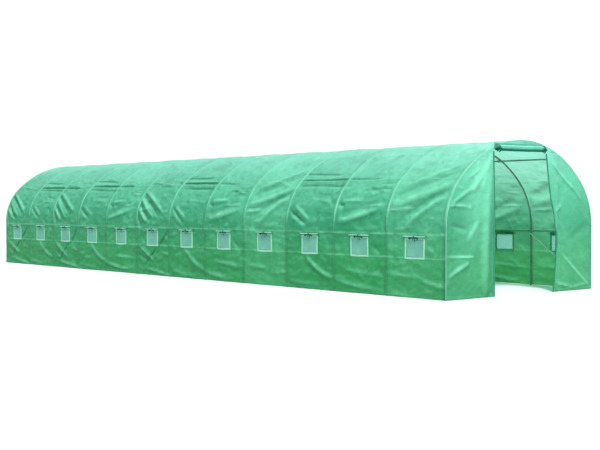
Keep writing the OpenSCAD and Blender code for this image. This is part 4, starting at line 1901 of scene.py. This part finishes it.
    def slider(self) -> Piece:
        """A slider with its pull hanging from it."""
        body = added(bpy.ops.mesh.primitive_cube_add, size=1.0)
        with editing(body):
            bpy.ops.transform.resize(value=self.slider_size)
            bpy.ops.mesh.bevel(offset=0.0012, segments=2, affect="EDGES")
        pull = settle(added(bpy.ops.mesh.primitive_plane_add, size=1.0, rotation=(math.pi / 2, 0.0, 0.0)))
        with editing(pull):
            bpy.ops.transform.resize(value=(self.pull_w, 1.0, self.pull_l))
            bpy.ops.transform.translate(value=self.pull_hangs)
            bpy.ops.mesh.inset(thickness=self.pull_band, depth=0.0)
            bpy.ops.mesh.delete(type="FACE")
        apply_modifier(pull, "SOLIDIFY", thickness=self.pull_t, offset=0.0)
        return smooth(join([body, pull], "slider"), 35.0)

    def build(self) -> None:
        """Makes the end's sheets, piping and zips."""
        for side in Side:
            self.side_panel(side)
        self.head_panel()
        self.piping()
        if self.end is End.REAR:
            self.curtain()
            self.teeth(self.closed_zip())
        else:
            self.teeth(self.open_zips())


# ---- rolled cloth


@dataclass(frozen=True)
class Coil:
    """Cloth that hangs a little way from its sewn edge and is then wound up into a roll."""

    cloth: float
    drop: float
    outer_r: float
    inner_r: float

    @property
    def pitch(self) -> float:
        """The gap from one turn to the next that takes up all the cloth."""
        return math.pi * (self.outer_r**2 - self.inner_r**2) / (self.cloth - self.drop)

    def rows(self, per_turn: int) -> Array:
        """Distances down the cloth.

        Args:
            per_turn: How many there are in each turn of the roll.

        Returns:
            The distances.
        """
        turns = (self.outer_r - self.inner_r) / self.pitch
        radius = np.linspace(self.outer_r, self.inner_r, math.ceil(turns * per_turn) + 1)
        wound = math.pi * (self.outer_r**2 - radius**2) / self.pitch
        return np.concatenate([np.linspace(0.0, self.drop, 5)[:-1], self.drop + wound])

    def at(self, along: Array) -> tuple[Array, Array]:
        """Places in the roll's section, from its middle.

        Args:
            along: Distances down the cloth from its sewn edge.

        Returns:
            The radius and the angle at each; the cloth meets the roll on the wall's side.
        """
        wound = np.maximum(along - self.drop, 0.0)
        radius = np.sqrt(np.maximum(self.outer_r**2 - wound * self.pitch / math.pi, self.inner_r**2))
        return radius, math.pi + 2 * math.pi * (self.outer_r - radius) / self.pitch


@dataclass(frozen=True)
class WoundSheet:
    """One rolled-up piece of cloth, squeezed where its ties hold it."""

    coil: Coil
    centre: Spot
    out: Spot
    axis: Spot
    half_l: float
    ties: tuple[float, ...]
    pinch: float
    pinch_w: float
    sag: float
    wrinkle: float
    offset: float
    tilt: float = 0.0

    def strip(self, name: str, columns: int, per_turn: int) -> Piece:
        """Makes the roll.

        Args:
            name: Its name.
            columns: The number of crossings along the roll.
            per_turn: The number of crossings in each turn.

        Returns:
            The rolled cloth.
        """
        centre, out, axis = (np.array(value) for value in (self.centre, self.out, self.axis))

        def place(across: Array, along: Array) -> Laid:
            """Winds crossings round the roll and squeezes them at the ties.

            Args:
                across: Their distances along the roll, from its middle.
                along: Their distances down the cloth.

            Returns:
                Their points and marks.
            """
            radius, angle = self.coil.at(along)
            rolled = smooth_step(along, 0.0, self.coil.drop)
            squeeze = sum(bell(across - tie, self.pinch_w) for tie in self.ties)
            spot = np.stack([across * 9.0, np.cos(angle) * 0.9, np.sin(angle) * 0.9], 1)
            rumple = ruffle(spot, (1.0, 1.0, 1.0), 3, self.offset)
            scale = 1 + rolled * (self.wrinkle * rumple - self.pinch * squeeze)
            # Painted light on the roll: a painted highlight on its top and its rumples, painted shade on its
            # underside and in the pinches at its ties.
            above = np.sin(angle) * rolled
            pale = 0.25 * np.clip(0.5 * rumple + 0.45 * squeeze, 0.0, 1.0)
            pale += 0.55 * smooth_step(above, 0.15, 0.9)
            shade = 0.5 * squeeze + 2.2 * smooth_step(-above, 0.05, 0.6)
            end_slip = 0.004 * np.sin(angle * 0.7 + self.offset) * (across / self.half_l) ** 7
            up = radius * np.sin(angle) * scale + np.maximum(self.coil.drop - along, 0.0)
            sag = self.sag * rolled * (1 - np.square(across / self.half_l))
            away = radius * np.cos(angle) * scale
            point = centre + np.outer(across + end_slip, axis) + np.outer(away, out)
            point[:, 2] += up - sag + self.tilt * across * rolled
            return Laid(point, pale, shade)

        edges = np.linspace(-self.half_l, self.half_l, columns + 1)
        return woven_strip(name, edges, self.coil.rows(per_turn), place)


@dataclass(frozen=True)
class Bow:
    """A webbing strap round a roll, tied in a bow on its outer side.

    It is made facing +X with the roll's middle at the origin, and its strap along Y.
    """

    roll_r: float
    band_w: float
    thickness: float
    loop_l: float
    loop_w: float
    tail_l: float
    knot_z: float = 0.0

    def build(self) -> Piece:
        """Makes the strap, knot, loops and tails, joined."""
        strap_r = self.roll_r + self.thickness / 2
        knot = (1.9 * self.thickness, 0.55 * self.band_w)
        parts = [
            self.once_round(np.zeros(3), (strap_r, strap_r), self.band_w / 2, 29),
            self.once_round(self.knot_at, knot, 0.36 * self.band_w, 15),
        ]
        for hand in (-1, 1):
            parts += [self.loop(hand), self.tail(hand)]
        return join(parts, "bow")

    @property
    def knot_at(self) -> Array:
        """The middle of the knot."""
        reach = math.sqrt(max(self.roll_r**2 - self.knot_z**2, 0.0))
        return np.array([reach + 1.6 * self.thickness, 0.0, self.knot_z])

    def once_round(self, middle: Array, half: tuple[float, float], half_w: float, steps: int) -> Piece:
        """Webbing once round the roll, or once round the knot.

        Args:
            middle: What it goes round.
            half: How far it reaches along X and along Z.
            half_w: Half its width.
            steps: The number of points round it.

        Returns:
            The webbing.
        """
        turn = np.linspace(0.0, 2 * math.pi, steps)
        path = middle + np.stack([half[0] * np.cos(turn), 0 * turn, half[1] * np.sin(turn)], 1)
        return ribbon("turn", path, np.tile([0.0, half_w, 0.0], (steps, 1)), self.thickness)

    def loop(self, hand: int) -> Piece:
        """One loop of the bow.

        Args:
            hand: -1 or 1, for its side.

        Returns:
            The loop.
        """
        share = np.linspace(0.02, 0.98, 25)
        swell = np.sin(math.pi * share)
        y = hand * self.loop_l * swell**0.8
        z = self.loop_w * np.sin(2 * math.pi * share) * swell**0.5 - 0.14 * self.loop_l * swell**1.6
        x = 0.35 * self.thickness + 0.1 * self.loop_l * swell * (0.6 + 0.4 * np.cos(2 * math.pi * share))
        path = self.knot_at + np.stack([x, y, z], 1)
        out = np.array([1.0, 0.0, 0.0])
        aside = unit(np.cross(unit(np.gradient(path, axis=0)), out))
        reach = 0.82 * aside + 0.57 * out * np.sign(aside[:, 2:3] + 1e-6)
        return ribbon("loop", path, unit(reach, 0.42 * self.band_w), self.thickness)

    def tail(self, hand: int) -> Piece:
        """One hanging end of the strap.

        Args:
            hand: -1 or 1, for its side.

        Returns:
            The tail.
        """
        share = np.linspace(0.0, 1.0, 12)
        length = self.tail_l * (1.0 if hand > 0 else 0.72)
        y = hand * (0.3 * self.band_w + 0.16 * length * share + 0.01 * np.sin(3.0 * share))
        x = 0.6 * self.thickness - (self.knot_at[0] - self.thickness) * 0.75 * smooth_step(share, 0.1, 0.9)
        path = self.knot_at + np.stack([x, y, -length * share], 1)
        reach = np.stack([0.25 * np.sin(2.5 * share), np.ones(12), 0.16 * hand * np.ones(12)], 1)
        return ribbon("tail", path, unit(reach, 0.42 * self.band_w), self.thickness)


@dataclass(frozen=True)
class DoorRoll:
    """The front door curtain, wound up and tied under the ridge."""

    tunnel: Tunnel
    cloth: float = 1.87
    tilt: float = 0.012
    tie_from_end: float = 0.021
    tie_w: float = 0.03
    thickness: float = 0.0011

    def build(self) -> None:
        """Makes the rolled curtain and its two ties."""
        low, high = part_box("door_roll")
        centre, radius, half_l = (low + high) / 2, (high.z - low.z) / 2, (high.x - low.x) / 2
        coil = Coil(cloth=self.cloth, drop=0.06, outer_r=radius, inner_r=0.01)
        tie_x = half_l - self.tie_from_end
        roll = WoundSheet(
            coil=coil, centre=tuple(centre), out=(0.0, -1.0, 0.0), axis=(1.0, 0.0, 0.0), half_l=half_l,
            ties=(-tie_x, tie_x), pinch=0.12, pinch_w=0.026, sag=0.004, wrinkle=0.045, offset=5.2,
            tilt=self.tilt,
        ).strip("door_roll_curtain", 44, 18)
        thicken(roll, self.thickness)
        hand_over(roll, ROLLED_SHEET, ["door_roll"])
        bow = Bow(
            roll_r=radius * 0.9, band_w=self.tie_w, thickness=0.003, loop_l=0.026, loop_w=0.012,
            tail_l=0.04, knot_z=-0.02,
        ).build()
        face_front = Matrix.Rotation(-math.pi / 2, 4, "Z")
        places = [
            Matrix.Translation((centre.x + x, centre.y, centre.z + self.tilt * x)) @ face_front
            for x in (-tie_x, tie_x)
        ]
        hand_over(stamp(bow, places, "door_roll_bows"), DarkWebbing(), ["door_roll_ties"])


@dataclass(frozen=True)
class Windows:
    """The windows down both sides: nets, bindings, rolled flaps and their bows."""

    tunnel: Tunnel
    flap: float = 0.3
    binding_lap: float = 0.004
    binding_w: float = 0.02
    binding_t: float = 0.0018
    flap_t: float = 0.0008
    net_t: float = 0.0006
    net_slack: float = 0.0035

    def nets(self, side: Side) -> None:
        """Makes the nets of one side, each a little slack.

        Args:
            side: The side.
        """
        low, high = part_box(f"window_mesh_{side.word}")
        x, half_w, tall = (low.x + high.x) / 2, self.tunnel.window_half_w, high.z - low.z
        nets = []
        for number, middle in enumerate(self.tunnel.windows):

            def place(across: Array, up: Array) -> Laid:
                """Puts crossings in their window, with a little slack.

                Args:
                    across: Their distances from the window's middle.
                    up: Their heights over its sill.

                Returns:
                    Their points.
                """
                slack = np.cos(math.pi * across / (2 * half_w)) * np.sin(math.pi * up / tall)
                ripple = 0.0012 * np.sin(across * 31.0 + number) * np.sin(up * 24.0 + 2 * number)
                away = x - side.value * (self.net_slack + np.abs(ripple)) * slack
                return Laid(np.stack([away, middle - side.value * across, low.z + up], 1))

            columns, rows = np.linspace(-half_w, half_w, 15), np.linspace(0.0, tall, 13)
            nets.append(woven_strip(f"net_{number}", columns, rows, place))
        joined = thicken(join(nets, f"window_nets_{side.word}"), self.net_t)
        hand_over(joined, InsectMesh(), [f"window_mesh_{side.word}"])

    def flaps(self, side: Side) -> None:
        """Makes the rolled flaps of one side.

        Args:
            side: The side.
        """
        low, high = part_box(f"window_rolls_{side.word}")
        radius = (high.z - low.z) / 2
        half_l = self.tunnel.windows[0] - low.y
        coil = Coil(cloth=self.flap, drop=0.018, outer_r=radius, inner_r=0.004)
        rolls = []
        for number, middle in enumerate(self.tunnel.windows):
            roll = WoundSheet(
                coil=coil, centre=((low.x + high.x) / 2, middle, (low.z + high.z) / 2),
                out=(float(side.value), 0.0, 0.0), axis=(0.0, -float(side.value), 0.0), half_l=half_l,
                ties=(0.0,), pinch=0.24, pinch_w=0.02, sag=0.002, wrinkle=0.1, offset=9.0 + 2.3 * number,
            )
            rolls.append(roll.strip(f"flap_{number}", 22, 10))
        joined = thicken(join(rolls, f"window_flaps_{side.word}"), self.flap_t)
        hand_over(joined, PALE_SHEET, [f"window_rolls_{side.word}"])

    def frame_pattern(self) -> Piece:
        """One binding frame, facing +X, with its middle at the origin."""
        outer_w = 2 * (self.tunnel.window_half_w + self.binding_w)
        outer_tall = self.tunnel.window_tall + 2 * self.binding_w
        pattern = settle(added(bpy.ops.mesh.primitive_plane_add, size=1.0, rotation=(0.0, math.pi / 2, 0.0)))
        with editing(pattern):
            bpy.ops.transform.resize(value=(1.0, outer_w, outer_tall))
            bpy.ops.mesh.inset(thickness=self.binding_w + self.binding_lap, depth=0.0)
            bpy.ops.mesh.delete(type="FACE")
            bpy.ops.mesh.select_all(action="SELECT")
            bpy.ops.mesh.subdivide(number_cuts=5)
        apply_modifier(pattern, "SOLIDIFY", thickness=self.binding_t, offset=0.0)
        apply_modifier(pattern, "BEVEL", width=0.0005, segments=1, limit_method="ANGLE")
        return smooth(pattern, 50.0)

    def places(self, away: float, height: float) -> list[Matrix]:
        """Where a pattern that faces +X goes at every window.

        Args:
            away: Its distance from the tunnel's middle.
            height: Its height.

        Returns:
            The places on both sides.
        """
        turns = {Side.LEFT: Matrix.Rotation(math.pi, 4, "Z"), Side.RIGHT: Matrix.Identity(4)}
        spots = [(side, (side.value * away, y, height)) for side in Side for y in self.tunnel.windows]
        return [Matrix.Translation(spot) @ turns[side] for side, spot in spots]

    def build(self) -> None:
        """Makes the windows of both sides."""
        for side in Side:
            self.nets(side)
            self.flaps(side)
        face = self.tunnel.arch.half_w + self.binding_t / 2 + 0.0004
        frames = stamp(self.frame_pattern(), self.places(face, self.tunnel.window_z), "window_frames")
        points = points_of(frames)
        points[:, 1] += 0.0022 * np.sin(points[:, 2] * 23.0 + points[:, 1] * 3.1)
        points[:, 2] += 0.002 * np.sin(points[:, 1] * 19.0)
        put_points(frames, points)
        hand_over(frames, PaleBinding(), ["window_bindings"])
        low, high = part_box("window_rolls_right")
        bow = Bow(
            roll_r=(high.z - low.z) / 2 * 0.8, band_w=0.018, thickness=0.0016, loop_l=0.078, loop_w=0.009,
            tail_l=0.052, knot_z=-0.009,
        ).build()
        away, height = (low.x + high.x) / 2, (low.z + high.z) / 2 - 0.002
        hand_over(stamp(bow, self.places(away, height), "window_bows"), DarkWebbing(), ["window_ties"])


# ---- the steel


@dataclass(frozen=True)
class SteelFrame:
    """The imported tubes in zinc, with bolts through their connectors and buttons in their sleeves."""

    tunnel: Tunnel
    hoop_inset: float = 0.019
    sleeve_r: float = 0.0145
    button_from_joint: float = 0.024
    button_r: float = 0.0034
    head_r: float = 0.0069275
    head_t: float = 0.00612
    head_z: float = 0.0036
    washer_r: float = 0.0088
    washer_t: float = 0.0032
    washer_z: float = -0.0004

    def dress(self) -> None:
        """Gives every steel node its zinc."""
        dull, highlighted = GalvanisedTube().material(), HIGHLIGHTED_BRACE_TUBE.material()
        marks = ("hoop_", "_purlin", "_braces", "_door_frame")
        for name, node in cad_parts.items():
            if any(mark in name for mark in marks):
                node.data.materials.clear()
                # The braces take the zinc copy with the painted highlight.
                node.data.materials.append(highlighted if "_braces" in name else dull)
                log.info("%s: zinc", name)

    def bolt(self) -> Piece:
        """A hexagon head on its washer, pointing along +Z from the origin."""
        cylinder = bpy.ops.mesh.primitive_cylinder_add
        middle, low_middle = (0, 0, self.head_z), (0, 0, self.washer_z)
        head = added(cylinder, vertices=6, radius=self.head_r, depth=self.head_t, location=middle)
        settle(head)
        washer = added(cylinder, vertices=14, radius=self.washer_r, depth=self.washer_t, location=low_middle)
        settle(washer)
        with editing(washer):
            bpy.ops.mesh.bevel(offset=0.0004, segments=1, affect="EDGES")
        return smooth(join([head, washer], "bolt"), 30.0)

    def button(self) -> Piece:
        """A spring button's dome, pointing along +Z from the origin."""
        dome = added(bpy.ops.mesh.primitive_uv_sphere_add, segments=10, ring_count=8, radius=self.button_r)
        with editing(dome):
            bpy.ops.mesh.bisect(plane_co=(0, 0, -0.0012), plane_no=(0, 0, 1), clear_inner=True, use_fill=True)
            bpy.ops.mesh.select_all(action="SELECT")
            bpy.ops.transform.resize(value=(1.0, 1.0, 0.8), center_override=(0.0, 0.0, 0.0))
        return smooth(dome, 50.0)

    @staticmethod
    def aim(point: Sequence[float], direction: Sequence[float]) -> Matrix:
        """Where a pattern that points along +Z goes, to point another way."""
        turn = Vector((0.0, 0.0, 1.0)).rotation_difference(Vector(direction))
        return Matrix.Translation(Vector(point)) @ turn.to_matrix().to_4x4()

    def bolt_places(self) -> list[Matrix]:
        """The inner side of every connector."""
        arch, places = self.tunnel.arch, []
        for name in [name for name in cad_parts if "_purlin" in name]:
            low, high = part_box(name)
            middle = (low + high) / 2
            if name.startswith("waist"):
                inwards = Vector((-math.copysign(1.0, middle.x), 0.0, 0.0))
            else:
                inwards = Vector((-middle.x, 0.0, arch.crown_z - middle.z)).normalized()
            for y in self.tunnel.hoops:
                point = Vector((middle.x, y, middle.z)) + inwards * self.sleeve_r
                places.append(self.aim(point, inwards))
        return places

    def button_places(self) -> list[Matrix]:
        """Two buttons on the inner side of every sleeve."""
        arch, places = self.tunnel.arch, []
        low_joints = [arch.leg_h, arch.side_l]
        joints = [*low_joints, arch.girth / 2, *(arch.girth - joint for joint in reversed(low_joints))]
        inside = self.hoop_inset + self.sleeve_r
        for (x, z), (out_x, out_z) in zip(*arch.at(np.array(joints))):
            for step in (-self.button_from_joint, self.button_from_joint):
                spot_x = x - inside * out_x + step * out_z
                spot_z = z - inside * out_z - step * out_x
                places += [self.aim((spot_x, y, spot_z), (-out_x, 0.0, -out_z)) for y in self.tunnel.hoops]
        return places

    def build(self) -> None:
        """Dresses the tubes and adds the small hardware."""
        self.dress()
        hand_over(stamp(self.bolt(), self.bolt_places(), "connector_bolts"), GalvanisedTube())
        hand_over(stamp(self.button(), self.button_places(), "spring_buttons"), GalvanisedTube())


# ---- the studio


@dataclass(frozen=True)
class Studio:
    """A pale floor, soft light from above and the camera."""

    camera_at: Spot = (-11.31, -14.73, 1.14)
    yaw: float = math.radians(40.5)
    pitch: float = math.radians(-0.97)
    lens: float = 64.8
    floor_w: float = 120.0
    sky_light: float = 0.5
    backdrop: float = 1.05
    key_light: float = 3.4
    key_softness: float = math.radians(14.0)
    key_from: Spot = (-0.48, -0.74, 1.0)
    back_light: float = 2.0
    back_from: Spot = (0.9, 0.35, 0.8)

    def camera(self) -> None:
        """Places the camera."""
        lens = bpy.data.cameras.new("studio_camera")
        lens.lens = self.lens
        lens.sensor_width = 36.0
        lens.clip_end = 400.0
        camera = bpy.data.objects.new("studio_camera", lens)
        camera.location = self.camera_at
        camera.rotation_euler = (math.pi / 2 + self.pitch, 0.0, -self.yaw)
        bpy.context.scene.collection.objects.link(camera)
        bpy.context.scene.camera = camera

    def floor(self) -> None:
        """Lays the floor."""
        floor = added(bpy.ops.mesh.primitive_grid_add, x_subdivisions=4, y_subdivisions=4, size=self.floor_w)
        floor.name = "studio_floor"
        floor.data.materials.append(StageFloor().material())

    def light(self) -> None:
        """Hangs a broad key light and sets an even, pale surround."""
        key = ("key_light", self.key_light, self.key_from)
        back = ("back_light", self.back_light, self.back_from)
        for label, strength, direction in (key, back):
            lamp = bpy.data.lights.new(label, "SUN")
            lamp.energy = strength
            lamp.angle = self.key_softness
            light = bpy.data.objects.new(label, lamp)
            light.rotation_euler = Vector(direction).to_track_quat("Z", "Y").to_euler()
            bpy.context.scene.collection.objects.link(light)
        world = bpy.data.worlds.new("pale_surround")
        world.use_nodes = True
        world.node_tree.nodes.clear()
        graph = Graph(world.node_tree)
        seen = graph.add("ShaderNodeLightPath").outputs["Is Camera Ray"]
        strength = graph.plus(self.sky_light, graph.times(seen, self.backdrop - self.sky_light))
        sky = graph.add("ShaderNodeBackground", {"Color": (1.0, 1.0, 1.0, 1.0), "Strength": strength})
        graph.add("ShaderNodeOutputWorld", {"Surface": sky.outputs[0]})
        bpy.context.scene.world = world

    def build(self) -> None:
        """Sets up the whole studio."""
        self.camera()
        self.floor()
        self.light()
        bpy.context.scene.view_settings.view_transform = "Standard"


def main() -> None:
    """Builds every sub-assembly in order."""
    logging.basicConfig(level=logging.INFO, format="%(name)s: %(message)s")
    tunnel = Tunnel.measure()
    log.info("bay %.4f m, girth %.3f m, side cloth %.3f m", tunnel.bay, tunnel.arch.girth, tunnel.arch.side_l)
    Studio().build()
    SteelFrame(tunnel).build()
    LongCover(tunnel).build()
    for end in End:
        EndCover(tunnel, end).build()
    DoorRoll(tunnel).build()
    Windows(tunnel).build()


if __name__ == "__main__":
    main()
